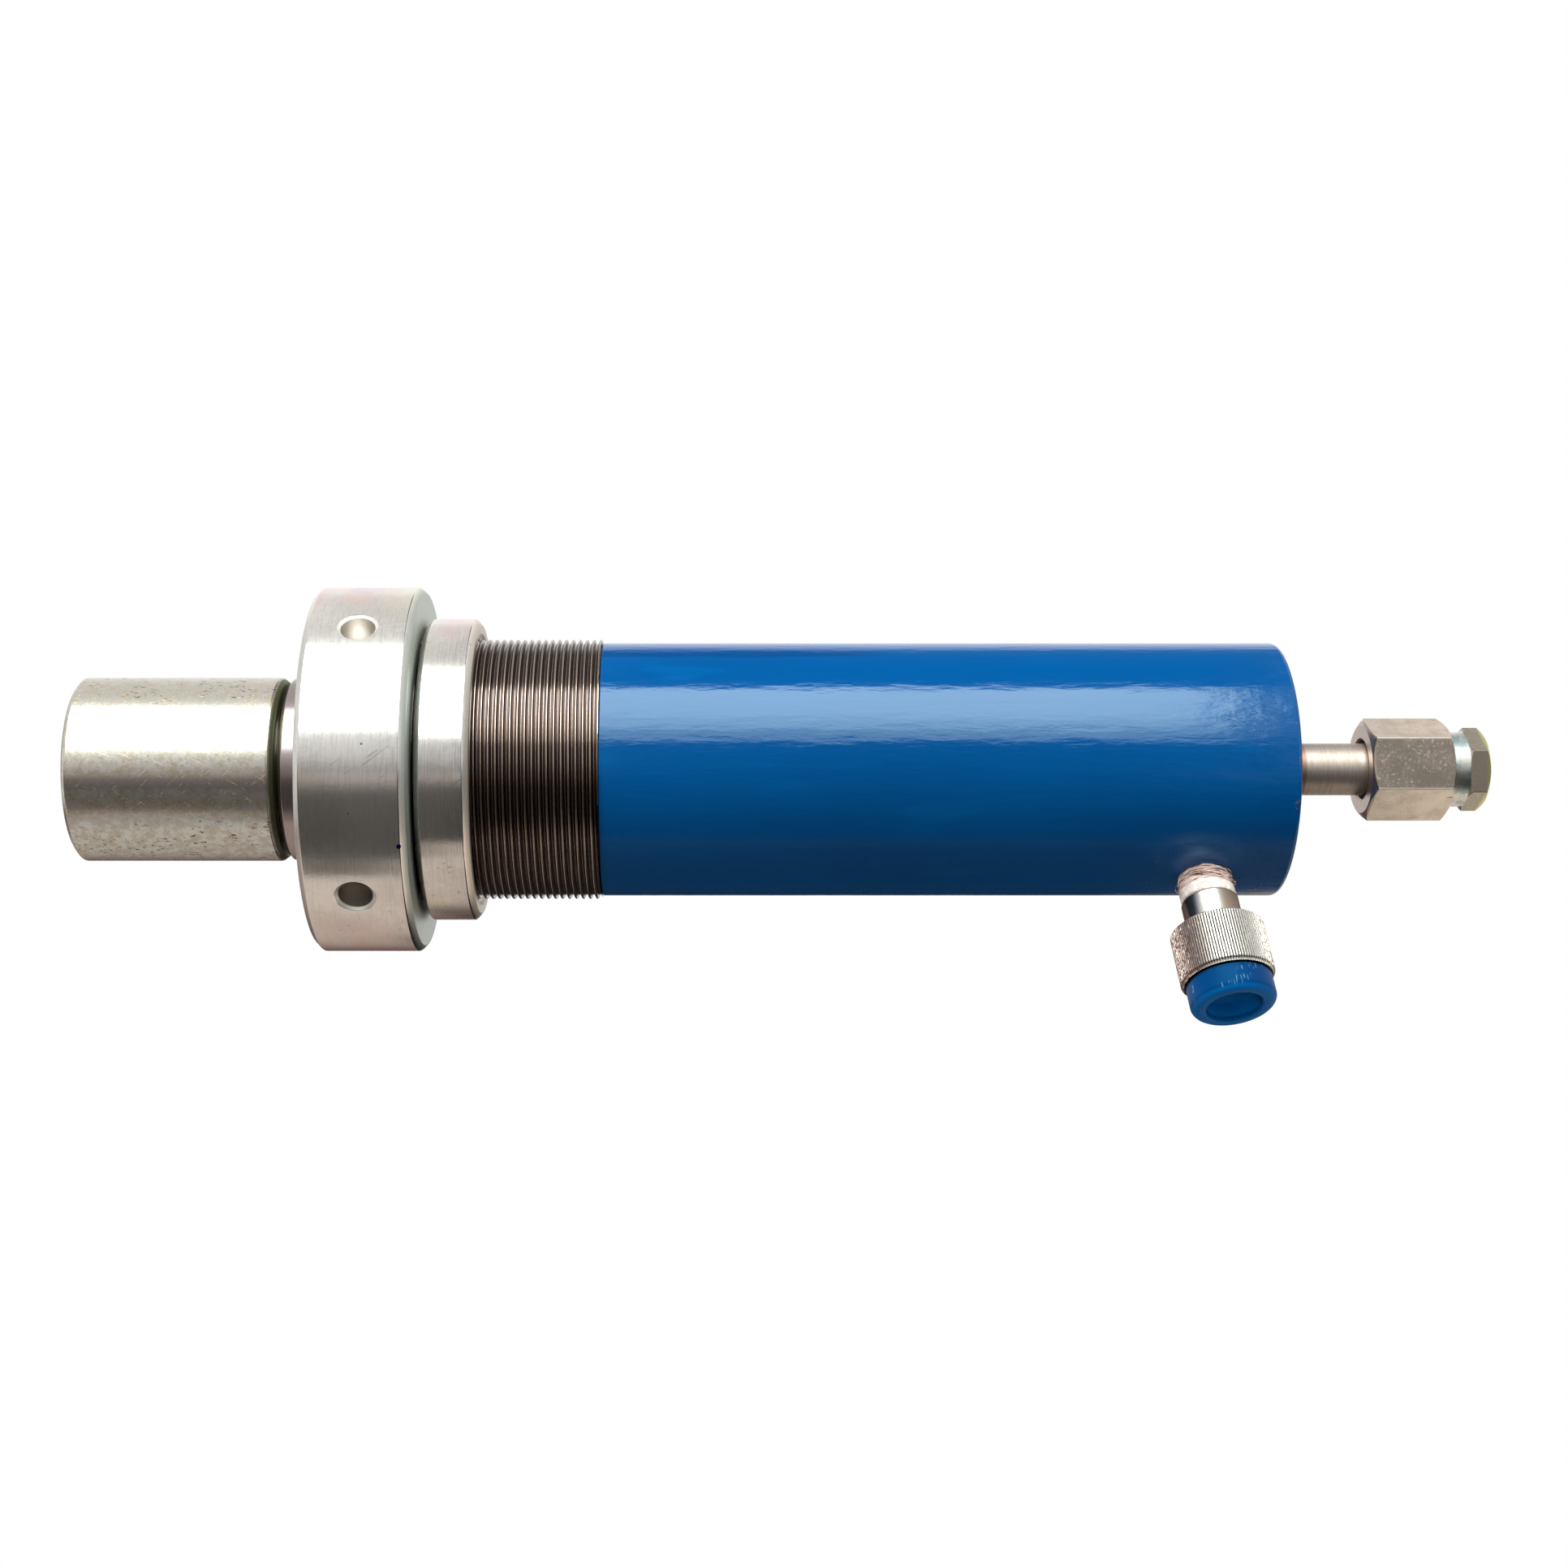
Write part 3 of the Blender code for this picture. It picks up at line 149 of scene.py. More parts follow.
class Shader:  # one material, or the world, and short ways to add its nodes
    def __init__(self, owner, look=None, coordinates="Object"):
        self.owner = owner
        owner.use_nodes = True
        self.tree = owner.node_tree
        self.tree.nodes.clear()
        self.look = look or {}
        self.colour = next(iter(self.look.values()), None)  # the first tone is the ground
        self.where = self.add("ShaderNodeTexCoord", output=coordinates)

    def add(self, kind, settings=None, inputs=None, output=0):
        node = self.tree.nodes.new(kind)
        for key, value in (settings or {}).items():
            if key == "stops":
                while len(node.color_ramp.elements) < len(value):
                    node.color_ramp.elements.new(0.5)
                for element, (place, colour) in zip(node.color_ramp.elements, value):
                    element.position = place
                    element.color = (*colour, 1)
            else:
                setattr(node, key, value)
        for key, value in (inputs or {}).items():
            socket = node.inputs[key]
            if isinstance(value, Link):
                self.tree.links.new(value.socket, socket)
            else:
                socket.default_value = (*value, 1) if socket.type == "RGBA" else value
        return Link(self, node.outputs[output])

    def maths(self, operation, *values):
        return self.add("ShaderNodeMath", {"operation": operation}, dict(enumerate(values)))

    def vector(self, operation, *values):
        return self.add("ShaderNodeVectorMath", {"operation": operation}, dict(enumerate(values)))

    def measure(self, operation, *values):  # a sum on vectors that gives a number
        return self.vector(operation, *values).output("Value")

    def part(self, axis):
        return self.add("ShaderNodeSeparateXYZ", {}, {0: self.where}, axis)

    def join(self, x, y=0.0):
        return self.add("ShaderNodeCombineXYZ", {}, {0: x, 1: y, 2: 0.0})

    def ramp(self, value, low, high):  # 0 below low, 1 above high, smooth between
        span = {"Value": value, "From Min": low, "From Max": high}
        return self.add("ShaderNodeMapRange", {"interpolation_type": "SMOOTHSTEP"}, span)

    def band(self, value, start, full, fade, end):  # 1 between full and fade, 0 outside start and end
        return self.ramp(value, start, full) * self.ramp(value, end, fade)

    def mix(self, mask, first, second):  # tones are links or names in the look
        first, second = (self.look[tone] if isinstance(tone, str) else tone for tone in (first, second))
        return self.add("ShaderNodeMix", {"data_type": "RGBA"}, {0: mask, 6: first, 7: second}, 2)

    def paint(self, mask, tone):  # lays a tone over the colour so far
        self.colour = self.mix(mask, self.colour, tone)

    def grain(self, scale, detail=3, rough=0.5, stretch=None, where=None):
        where = where or self.where
        if stretch:
            where = self.vector("MULTIPLY", where, stretch)
        values = {"Vector": where, "Scale": scale, "Detail": detail, "Roughness": rough}
        return self.add("ShaderNodeTexNoise", {}, values)

    def scratches(self, degrees, scale, thin, low, high):
        turn = (0, math.radians(degrees), 0)
        slanted = self.add("ShaderNodeMapping", {}, {"Vector": self.where, "Rotation": turn})
        return self.ramp(self.grain(scale, 2, 0.4, (thin, 1, 1), slanted), low, high)

    def mark(self, x, degrees, radius, size):  # a small spot on the ram's side facing the lens
        angle = math.radians(degrees)
        centre = (x, -radius * math.cos(angle), radius * math.sin(angle))
        return self.ramp(self.measure("DISTANCE", self.where, centre), size, size * 0.7)

    def bump(self, height, distance, strength=1.0, normal=None):
        values = {"Height": height, "Distance": distance, "Strength": strength}
        if normal:
            values["Normal"] = normal
        return self.add("ShaderNodeBump", {}, values)

    def onAxis(self, base, axis):  # measures along a turned piece's axis and out from it
        self.away = self.vector("SUBTRACT", self.where, tuple(base))
        self.along = self.toward(axis)
        foot = self.add("ShaderNodeVectorMath", {"operation": "SCALE"}, {0: tuple(axis), "Scale": self.along})
        self.radius = self.measure("DISTANCE", self.away, foot)
        return self

    def toward(self, direction):
        return self.measure("DOT_PRODUCT", self.away, tuple(direction))

    def show(self, surface, kind="ShaderNodeOutputMaterial"):
        output = self.tree.nodes.new(kind)
        self.tree.links.new(surface.socket, output.inputs["Surface"])
        return self.owner

    def finish(self, rough, relief, metallic=0.0, **others):
        values = {"Base Color": self.colour, "Roughness": rough, "Normal": relief, "Metallic": metallic}
        for name, value in others.items():
            values[name.replace("_", " ")] = value
        return self.show(self.add("ShaderNodeBsdfPrincipled", {}, values))


def newShader(name, look=None):
    return Shader(bpy.data.materials.new(name), look)


def ramShader(name, look):
    return newShader(name, look).onAxis(ramBase, ramAxis)


def couplerShader(name, look):  # its side runs from -1 at the coupler's left to 1 at its right
    s = newShader(name, look).onAxis(couplerBase, couplerAxis)
    rightward = couplerAxis.cross(Vector((0, -1, 0))).normalized()
    if rightward.x < 0:
        rightward.negate()
    s.side = s.toward(rightward) / s.radius
    return s


# finishes
def toolMarks(s, scale, detail):  # what the lathe leaves, on round faces and on flat ones
    return s.grain(scale, detail, 0.6, where=s.join(s.along + s.radius))


def turnedZinc(node, frontGrey, rearGrey, endTone, marks):  # bright turned faces with duller chamfers
    s = ramShader(node, {
        "light": (0.92, 0.90, 0.88), "dull": (0.80, 0.78, 0.75), "pink": (0.92, 0.74, 0.68),
        "violet": (0.70, 0.62, 0.76), "yellow": (0.92, 0.86, 0.68), "green": (0.46, 0.51, 0.47),
        "beige": (0.60, 0.55, 0.47), "wall": (0.80, 0.76, 0.72), "rim": (0.95, 0.92, 0.88),
        "blue": (0.0, 0.03, 0.30), "dark": (0.30, 0.29, 0.28)})
    front, rear, size = boxOf(node)
    thin, broad = toolMarks(s, 1900, 2), toolMarks(s, 420, 3)
    cloud = s.grain(42, 3, 0.55)
    fine = s.grain(900, 4, 0.7, (0.5, 1, 1))
    s.paint(s.ramp(cloud + (fine - 0.5) * 0.4, 0.40, 0.64), "dull")
    s.paint(s.ramp(s.grain(2600, 2, 0.5, (1, 0.06, 0.06)), 0.46, 0.66) * 0.15, "dark")
    # painted reflection: pink, violet and yellow tints laid only where the ring's face turns up or down
    edgeOn = s.ramp((s.toward((0, 0, 1)) / s.radius).maths("ABSOLUTE"), 0.72, 0.97)
    swirl = s.grain(55, 3, 0.55, (1, 0.5, 0.5))
    s.paint(edgeOn * s.ramp(swirl, 0.38, 0.58), "pink")
    s.paint(edgeOn * s.ramp(swirl, 0.55, 0.64) * 0.7, "violet")
    s.paint(edgeOn * s.ramp(1 - swirl, 0.56, 0.66) * 0.7, "yellow")
    scratch = s.scratches(38, 1100, 0.06, 0.70, 0.74)
    s.paint(scratch * 0.4, "dark")
    depth = size - s.radius
    ends = s.ramp(s.along, front + 0.002, front) * frontGrey + s.ramp(s.along, rear - 0.002, rear) * rearGrey
    dullEnd = s.ramp(depth, 0.0001, 0.0003) * ends
    s.paint(dullEnd, endTone)
    middle = s.band(s.along, front + 0.004, front + 0.005, rear - 0.005, rear - 0.004)
    wall = s.ramp(depth, 0.0008, 0.0011) * middle
    rim = s.ramp(depth, 0.00005, 0.0002) * middle * (1 - wall)
    s.paint(wall, "wall")
    s.paint(rim, "rim")
    for x, degrees, wide, tone in marks:
        s.paint(s.mark(x, degrees, size, wide), tone)
    rough = 0.11 + 0.08 * thin + 0.05 * cloud + 0.34 * dullEnd + 0.1 * scratch + 0.22 * wall + 0.36 * rim
    relief = s.bump(thin, 0.000012, 0.8, s.bump(broad, 0.000012, 0.4, s.bump(fine, 0.00002, 0.6)))
    return s.finish(rough, relief, 1.0)


def clearZinc():  # the rod cap: mottled plate over turned steel, with scuffs and brown specks, and painted reflection tones that follow the height: violet and blue bands and a cool underside low down, a grey and warm top
    s = ramShader("clearZinc", {
        "light": (0.79, 0.76, 0.71), "warm": (0.62, 0.56, 0.45), "grey": (0.56, 0.555, 0.51),
        "violet": (0.50, 0.40, 0.44), "blue": (0.46, 0.50, 0.54), "brown": (0.17, 0.11, 0.06),
        "tan": (0.86, 0.78, 0.62), "olive": (0.13, 0.145, 0.075), "cool": (0.68, 0.74, 0.74)})
    front, rear, size = boxOf("rod_cap")
    height = s.toward((0, 0, 1)) / size
    fine = s.grain(2100, 4, 0.7, (1, 0.6, 0.6))
    mottle = s.grain(420, 4, 0.65)
    s.paint(s.ramp(mottle + (fine - 0.5) * 0.5, 0.36, 0.66), "warm")
    s.paint(s.ramp(s.grain(55, 3, 0.5, (0.5, 1, 1)), 0.48, 0.68) * 0.6, "grey")
    # painted reflection tones that follow the height: violet and blue bands and a cool grey underside, a grey
    # and warm top
    level = height + (mottle - 0.5) * 0.10
    s.paint(s.band(level, -0.24, -0.19, -0.12, -0.04) * 0.55, "violet")
    s.paint(s.band(level, -0.64, -0.60, -0.53, -0.46) * 0.7, "blue")
    under = s.ramp(height, -0.46, -0.60)
    s.paint(under * 0.75, s.mix(s.ramp(mottle, 0.42, 0.60), "cool", "grey"))
    over = s.ramp(height, 0.66, 0.76)
    s.paint(over * 0.55, s.mix(s.ramp(mottle, 0.42, 0.58), "grey", "warm"))
    specks = s.ramp(s.grain(1250, 3, 0.6, (0.45, 1, 1)), 0.59, 0.65) * s.ramp(s.grain(120, 2), 0.44, 0.54)
    s.paint(specks * (under + over * 0.8 + 0.12), "brown")
    scuffs = s.scratches(40, 2000, 0.08, 0.67, 0.71) + s.scratches(-28, 1700, 0.07, 0.69, 0.72)
    s.paint(scuffs * 0.6, "tan")
    stripe = s.ramp(s.along, rear - 0.0017, rear - 0.0009)
    s.paint(stripe, "olive")
    s.paint(s.ramp(s.along, front + 0.0012, front + 0.0004) * 0.6, "olive")
    rough = 0.17 + 0.16 * mottle + 0.14 * scuffs + 0.2 * stripe
    return s.finish(rough, s.bump(fine, 0.00003, 0.7, s.bump(mottle, 0.00003, 0.6)), 0.95)


def groundRod():
    s = ramShader("groundRod", {"light": (0.44, 0.38, 0.38), "dark": (0.40, 0.34, 0.34)})
    thin = toolMarks(s, 3200, 2)
    s.paint(s.ramp(s.grain(45, 3, 0.5), 0.40, 0.62), "dark")
    return s.finish(0.16 + 0.12 * thin, s.bump(thin, 0.00001, 0.8), 1.0)


def cutThread(crest, root):
    s = ramShader("cutThread", {
        "root": (0.42, 0.36, 0.34), "flank": (0.075, 0.042, 0.036), "crest": (0.46, 0.375, 0.31)})
    wear = s.grain(90, 3, 0.6)
    streak = s.grain(1300, 2, 0.5, (1, 0.12, 0.12))
    s.paint(s.ramp(s.radius, root + 0.00002, root + 0.00016), "flank")
    s.paint(s.ramp(s.radius + (wear - 0.5) * 0.0001, crest - 0.00010, crest - 0.00002), "crest")
    return s.finish(0.11 + 0.08 * wear + 0.08 * streak, s.bump(streak, 0.00002, 0.5), 1.0)


def blueEnamel():
    s = ramShader("blueEnamel", {
        "paint": (0.0, 0.077, 0.268), "deep": (0.0, 0.067, 0.238), "thin": (0.0, 0.093, 0.300),
        "run": (0.0, 0.055, 0.205), "rust": (0.17, 0.07, 0.055)})
    rear, size = boxOf("barrel_tube")[1:]
    cloud = s.grain(22, 3, 0.55, (0.45, 1, 1))
    s.paint(s.ramp(cloud, 0.35, 0.65), "deep")
    s.paint(s.ramp(s.grain(75, 3, 0.5, (0.3, 1, 1)), 0.60, 0.72) * 0.5, "thin")
    height = s.toward((0, 0, 1)) / size
    # painted shade: a dark band along the top of the barrel's near side, with a wavering edge
    wave = height + (s.grain(160, 3, 0.6, (0.25, 1, 1)) - 0.5) * 0.06
    nearSide = s.ramp(s.toward((0, 1, 0)), 0.0, -0.001)
    run = s.band(wave, 0.862, 0.876, 0.922, 0.932) * s.ramp(s.along + wave * 0.12, 0.242, 0.225) * nearSide
    s.paint(run, "run")
    rim = s.ramp(s.along + s.radius, rear + size - 0.0014, rear + size - 0.0008)
    chips = s.ramp(s.grain(330, 4, 0.7), 0.60, 0.63) * s.ramp(s.grain(42, 2), 0.50, 0.56) * rim
    s.paint(chips, "rust")
    bare = s.mark(rear - 0.0003, -15.5, size, 0.0020) * s.ramp(s.grain(900, 3, 0.7), 0.48, 0.54)
    s.paint(bare, "rust")
    ripple = s.grain(400, 4, 0.55, (0.22, 1, 1))
    wisps = s.grain(1100, 3, 0.6, (1, 0.08, 0.08))
    dusty = s.ramp(s.measure("DISTANCE", s.where, tuple(couplerBase)), 0.034, 0.006)
    below = s.ramp(height, -0.30, -0.60)
    rough = 0.12 * dusty + 0.07 + 0.5 * chips + 0.04 * cloud + 0.05 * wisps + 0.08 * below
    return s.finish(rough, s.bump(ripple, 0.00026, 0.5, s.bump(wisps, 0.00001, 0.6)), IOR=1.52,
                    Specular_Tint=(0.75, 0.97, 1.0))


def hexFaces(s, facet):  # 1 on the face nearest the lens, then on the one above it
    angles = (math.radians(facet), math.radians(facet + 60))
    return [s.ramp(s.toward((0, -math.cos(a), math.sin(a))) / s.radius, 0.864, 0.868) for a in angles]


def dullNickel():  # union nut: flat plated faces with fine specks, each face painted its own lit or shaded tone, the one nearest the lens darkest
    s = ramShader("dullNickel", {
        "lower": (0.92, 0.85, 0.76), "upper": (1.0, 0.84, 0.71), "near": (0.31, 0.265, 0.225),
        "front": (0.50, 0.40, 0.35), "speck": (0.66, 0.62, 0.55), "stain": (0.14, 0.10, 0.08),
        "edge": (0.86, 0.80, 0.70)})
    # painted light and shade: the upper face and the one nearest the lens get their own tones
    near, upper = hexFaces(s, unionSize["facet"])
    s.paint(upper, "upper")
    s.paint(near, "near")
    cloud = s.grain(160, 4, 0.6)
    fine = s.grain(1150, 4, 0.75)
    s.paint(s.ramp(cloud, 0.40, 0.66) * 0.35, "front")
    s.paint(s.ramp(fine, 0.44, 0.30) * 0.35, "stain")
    s.paint(s.ramp(fine, 0.555, 0.65) * s.ramp(cloud, 0.34, 0.54) * 0.9, "speck")
    stain = s.ramp(s.grain(420, 3, 0.6, (0.25, 1, 1)), 0.64, 0.68) * s.ramp(s.grain(70, 2), 0.48, 0.58)
    s.paint(stain * (1 - near) * 0.7, "stain")
    flat = unionSize["flats"] / 2
    s.paint(s.ramp(s.radius, flat * 1.128, flat * 1.145) * 0.7, "edge")
    front = boxOf("union_nut")[0]
    s.paint(s.ramp(s.along, front + 0.0012, front + 0.0006), "front")
    relief = s.bump(fine, 0.00005, 0.7, s.bump(cloud, 0.00004, 0.5))
    return s.finish(0.24 + 0.14 * fine + 0.08 * cloud, relief, 1.0)


def yellowZinc():  # blanking plug: hexagon faces darker than its turned neck, each face painted its own lit or shaded tone, and a yellow highlight painted on the rear rim
    s = ramShader("yellowZinc", {
        "lower": (0.42, 0.41, 0.34), "upper": (0.45, 0.40, 0.32), "near": (0.72, 0.63, 0.52),
        "neck": (0.80, 0.82, 0.77), "blue": (0.36, 0.50, 0.54), "rim": (0.80, 0.82, 0.36),
        "speck": (0.66, 0.64, 0.52)})
    hexFront = boxOf("union_nut")[1] + gap + plugSize["collarWidth"]
    rear = boxOf("blanking_plug")[1]
    # painted light and shade: the upper face and the one nearest the lens get their own tones
    near, upper = hexFaces(s, plugSize["facet"])
    s.paint(upper, "upper")
    s.paint(near, "near")
    fine = s.grain(1500, 4, 0.7)
    cloud = s.grain(190, 4, 0.6)
    s.paint(s.ramp(fine, 0.54, 0.64) * 0.8, "speck")
    neck = s.mix(s.ramp(cloud, 0.48, 0.60) * 0.8, "neck", "blue")
    s.paint(s.ramp(s.along, hexFront + 0.0008, hexFront + 0.0004), neck)
    # painted highlight: a yellow glow on the rear rim
    edge = s.ramp(s.along, rear - 0.0018, rear - 0.0004) * (s.ramp(s.radius, 0.0078, 0.0096) * 0.85 + 0.15)
    s.paint(edge, "rim")
    return s.finish(0.20 + 0.14 * fine + 0.08 * cloud, s.bump(fine, 0.00005, 0.7), 1.0)


def brightNickel():  # the coupler's plain nipple, with painted shade where it turns away and a warm painted reflection tone right of its middle
    s = couplerShader("brightNickel", {
        "plate": (0.74, 0.73, 0.71), "warm": (0.46, 0.36, 0.28), "left": (0.16, 0.13, 0.12),
        "right": (0.13, 0.10, 0.09)})
    thin = s.grain(1400, 3, 0.6)
    # painted reflection and shade: a warm tone right of the middle, dark towards both sides
    s.paint(s.ramp(s.side, 0.0, 0.40), "warm")
    s.paint(s.ramp(s.side, -0.50, -0.92), "left")
    s.paint(s.ramp(s.side, 0.84, 0.99), "right")
    rough = 0.17 + 0.14 * thin + 0.28 * s.ramp(s.side, 0.1, 0.5)
    return s.finish(rough, s.bump(thin, 0.00003, 0.7), 1.0, Specular_Tint=(0.35, 0.30, 0.28))


def knurledNickel(front, rear, crest):  # cream ribs over darker grooves, the sides painted darker as shade, speckled brown towards the sides, with painted glints
    s = couplerShader("knurledNickel", {
        "rib": (0.66, 0.64, 0.60), "left": (0.42, 0.32, 0.29), "right": (0.62, 0.57, 0.51),
        "groove": (0.13, 0.09, 0.07), "speck": (0.10, 0.05, 0.045), "glint": (0.90, 0.85, 0.76)})
    # painted shade: the sides darker than the middle, the left side most
    s.paint(s.ramp(s.side, -0.30, -0.80), "left")
    s.paint(s.ramp(s.side, 0.50, 0.85), "right")
    speck = s.ramp(s.grain(950, 4, 0.7), 0.50, 0.60)
    edges = s.ramp(s.side, -0.45, -0.85) + s.ramp(s.side, 0.62, 0.90) * s.ramp(s.grain(160, 2), 0.44, 0.54)
    s.paint(speck * edges * 0.8, "speck")
    # painted glints on the left side
    s.paint(s.ramp(s.grain(1000, 2, 0.5), 0.60, 0.66) * s.ramp(s.side, -0.2, -0.7) * 0.8, "glint")
    ribbed = s.band(s.along, front + 0.0008, front + 0.0012, rear - 0.0008, rear - 0.0005)
    s.paint(s.ramp(s.radius, crest - 0.00006, crest - 0.00030) * ribbed * 0.9, "groove")
    return s.finish(0.44 + 0.15 * speck, s.bump(speck, 0.00005, 0.5), 0.9, Specular_Tint=(0.30, 0.25, 0.22))


def pipeSteel():
    s = ramShader("pipeSteel", {
        "light": (0.58, 0.50, 0.45), "dark": (0.50, 0.42, 0.37), "heat": (0.46, 0.33, 0.25),
        "flux": (0.40, 0.20, 0.13)})
    rear = boxOf("barrel_tube")[1]
    brush = s.grain(1500, 3, 0.6, (1, 0.16, 0.16))
    s.paint(s.ramp(brush, 0.35, 0.65), "dark")
    s.paint(s.ramp(s.along, rear + 0.010, rear + 0.001) * 0.7, "heat")
    s.paint(s.ramp(s.along + (brush - 0.5) * 0.0014, rear + 0.0090, rear + 0.0084) * 0.8, "flux")
    return s.finish(0.37 + 0.16 * brush, s.bump(brush, 0.00002, 0.8), 0.93)


def copperBraze():
    s = newShader("copperBraze", {"bright": (0.62, 0.34, 0.20), "burnt": (0.30, 0.13, 0.07)})
    lump = s.grain(700, 3, 0.6)
    s.paint(s.ramp(lump, 0.4, 0.62), "burnt")
    return s.finish(0.4 + 0.2 * lump, s.bump(lump, 0.0003, 0.8), 0.8)


def hempFibre(name, ground):
    s = couplerShader(name, {"ground": ground, "tan": (0.80, 0.60, 0.54), "dark": (0.17, 0.07, 0.05)})
    wound = s.join(s.along + s.grain(180, 2) * 0.0016, s.side * 0.0012)
    strand = s.grain(2600, 3, 0.6, where=wound)
    s.paint(s.ramp(strand, 0.42, 0.60), "tan")
    s.paint(s.ramp(s.grain(900, 2, where=wound), 0.58, 0.64) * 0.85, "dark")
    return s.finish(0.9, s.bump(strand, 0.0002, 0.6))


def threadTape():
    s = newShader("threadTape", {"tape": (0.93, 0.88, 0.85), "crease": (0.76, 0.62, 0.58)})
    crinkle = s.grain(700, 3, 0.6)
    s.paint(s.ramp(crinkle, 0.4, 0.65), "crease")
    return s.finish(0.55, s.bump(crinkle, 0.0002, 0.7))


def bluePlastic():  # painted light at the recess's foot and on the end face, painted shade under the recess's top edge, on the top and at the neck by the sleeve
    k = capTop
    s = couplerShader("bluePlastic", {
        "body": (0.0, 0.070, 0.262), "deep": (0.0, 0.061, 0.232), "scuff": (0.16, 0.38, 0.58),
        "inside": (0.0, 0.270, 0.850), "shade": (0.0, 0.028, 0.100), "top": (0.0, 0.038, 0.160),
        "face": (0.0, 0.150, 0.500)})
    cloud = s.grain(150, 3, 0.5)
    s.paint(s.ramp(cloud, 0.35, 0.65), "deep")
    upward = couplerAxis.cross(ramAxis).normalized()
    up = s.toward(upward if upward.z > 0 else -upward) / k["radius"]
    # painted shade: the top darker
    s.paint(s.ramp(up, 0.2, 0.9), "top")
    end = k["front"] + k["length"]
    # painted light: the end brighter
    s.paint(s.ramp(s.along, end - 0.0016, end - 0.0004), "face")
    # painted light on the recess's lower wall, painted shade under its top edge
    hollow = s.mix(s.ramp(up, -0.55, 0.15), "inside", "shade")
    s.paint(s.ramp(s.radius, k["recess"] + 0.0001, k["recess"] - 0.0003), hollow)
    # painted shadow of the sleeve at the cap's neck
    s.paint(s.ramp(s.along, k["front"] + 0.0012, k["front"] + 0.0007), "shade")
    dashes = s.join(s.along * 0.10, s.side * s.radius)
    patch = s.ramp(s.grain(130, 2), 0.56, 0.62) * s.ramp(s.radius, k["radius"] - 0.0005, k["radius"] - 0.0002)
    scuff = s.ramp(s.grain(2300, 2, 0.5, where=dashes), 0.57, 0.63) * patch
    s.paint(scuff * 0.6, "scuff")
    rough = 0.46 + 0.1 * cloud + 0.15 * scuff
    return s.finish(rough, s.bump(cloud, 0.0001, 0.3), IOR=1.30, Specular_Tint=(0.1, 0.7, 1.0))


def blackRubber():
    s = newShader("blackRubber", {"rubber": (0.018, 0.018, 0.02), "dust": (0.05, 0.048, 0.046)})
    dust = s.grain(300, 3, 0.6)
    s.paint(s.ramp(dust, 0.4, 0.7), "dust")
    return s.finish(0.45 + 0.2 * dust, s.bump(dust, 0.0001, 0.4))


def plainFinish(name, light, dark, rough, metallic=1.0):  # inner parts that only show when taken apart
    s = newShader(name, {"light": light, "dark": dark})
    cloud = s.grain(180, 4, 0.6)
    s.paint(s.ramp(cloud, 0.35, 0.65), "dark")
    return s.finish(rough + 0.12 * cloud, s.bump(cloud, 0.00005, 0.5), metallic)


# ways of shaping
def chooseOnly(piece):
    bpy.ops.object.select_all(action="DESELECT")
    piece.select_set(True)
    bpy.context.view_layer.objects.active = piece


def lathe(name, outline, around=128, hollow=False):
    x, radius = outline[0]
    bpy.ops.object.select_all(action="DESELECT")
    bpy.ops.mesh.primitive_circle_add(vertices=around, radius=radius, location=(x, 0, 0),
                                      rotation=(0, math.pi / 2, 0))
    piece = bpy.context.object
    piece.name = name
    bpy.ops.object.transform_apply(location=True, rotation=True, scale=True)
    bpy.ops.object.mode_set(mode="EDIT")
    bpy.ops.mesh.select_all(action="SELECT")
    for nextX, nextRadius in outline[1:]:
        bpy.ops.mesh.extrude_region_move(TRANSFORM_OT_translate={"value": (nextX - x, 0, 0)})
        if nextRadius != radius:
            grow = nextRadius / radius
            bpy.ops.transform.resize(value=(1, grow, grow), center_override=(nextX, 0, 0))
        x, radius = nextX, nextRadius
    bpy.ops.mesh.select_all(action="DESELECT")
    bpy.ops.mesh.select_non_manifold()
    if hollow:
        bpy.ops.mesh.bridge_edge_loops()
    else:
        bpy.ops.mesh.fill_holes(sides=0)
    bpy.ops.mesh.select_all(action="SELECT")
    bpy.ops.mesh.normals_make_consistent(inside=False)
    bpy.ops.object.mode_set(mode="OBJECT")
    return piece


def applyModifier(piece, kind, **settings):
    chooseOnly(piece)
    modifier = piece.modifiers.new(kind.title(), kind)
    for key, value in settings.items():
        setattr(modifier, key, value)
    bpy.ops.object.modifier_apply(modifier=modifier.name)


def soften(piece, width, segments=2, angle=25):  # break every sharp edge a little
    applyModifier(piece, "BEVEL", width=width, segments=segments, limit_method="ANGLE",
                  angle_limit=math.radians(angle), harden_normals=False)


def cut(piece, tool, operation="DIFFERENCE"):
    applyModifier(piece, "BOOLEAN", object=tool, operation=operation, solver="EXACT")
    bpy.data.objects.remove(tool, do_unlink=True)


def smooth(piece, angle=30):  # wide faces keep their own normals right up to the softened edges
    chooseOnly(piece)
    bpy.ops.object.shade_smooth_by_angle(angle=math.radians(angle))
    applyModifier(piece, "WEIGHTED_NORMAL", weight=90, keep_sharp=True)


def moveTo(piece, matrix):
    chooseOnly(piece)
    piece.matrix_world = matrix
    bpy.ops.object.transform_apply(location=True, rotation=True, scale=True)


def joinTo(piece, other):
    chooseOnly(piece)
    other.select_set(True)
    bpy.ops.object.join()


def fromAxis(vertex):
    return math.hypot(vertex.co.y, vertex.co.z)


def widen(vertex, factor):  # moves a point out from the X axis, or in
    vertex.co.y *= factor
    vertex.co.z *= factor


def dress(piece, material, body, slot, *nodes):
    piece.data.materials.clear()
    piece.data.materials.append(material)
    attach(piece, body)
    if nodes:
        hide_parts(*nodes)


# rod cap and plunger
capSize = {"chamfer": 0.0017, "edge": 0.0004, "bore": 0.0213, "around": 160}


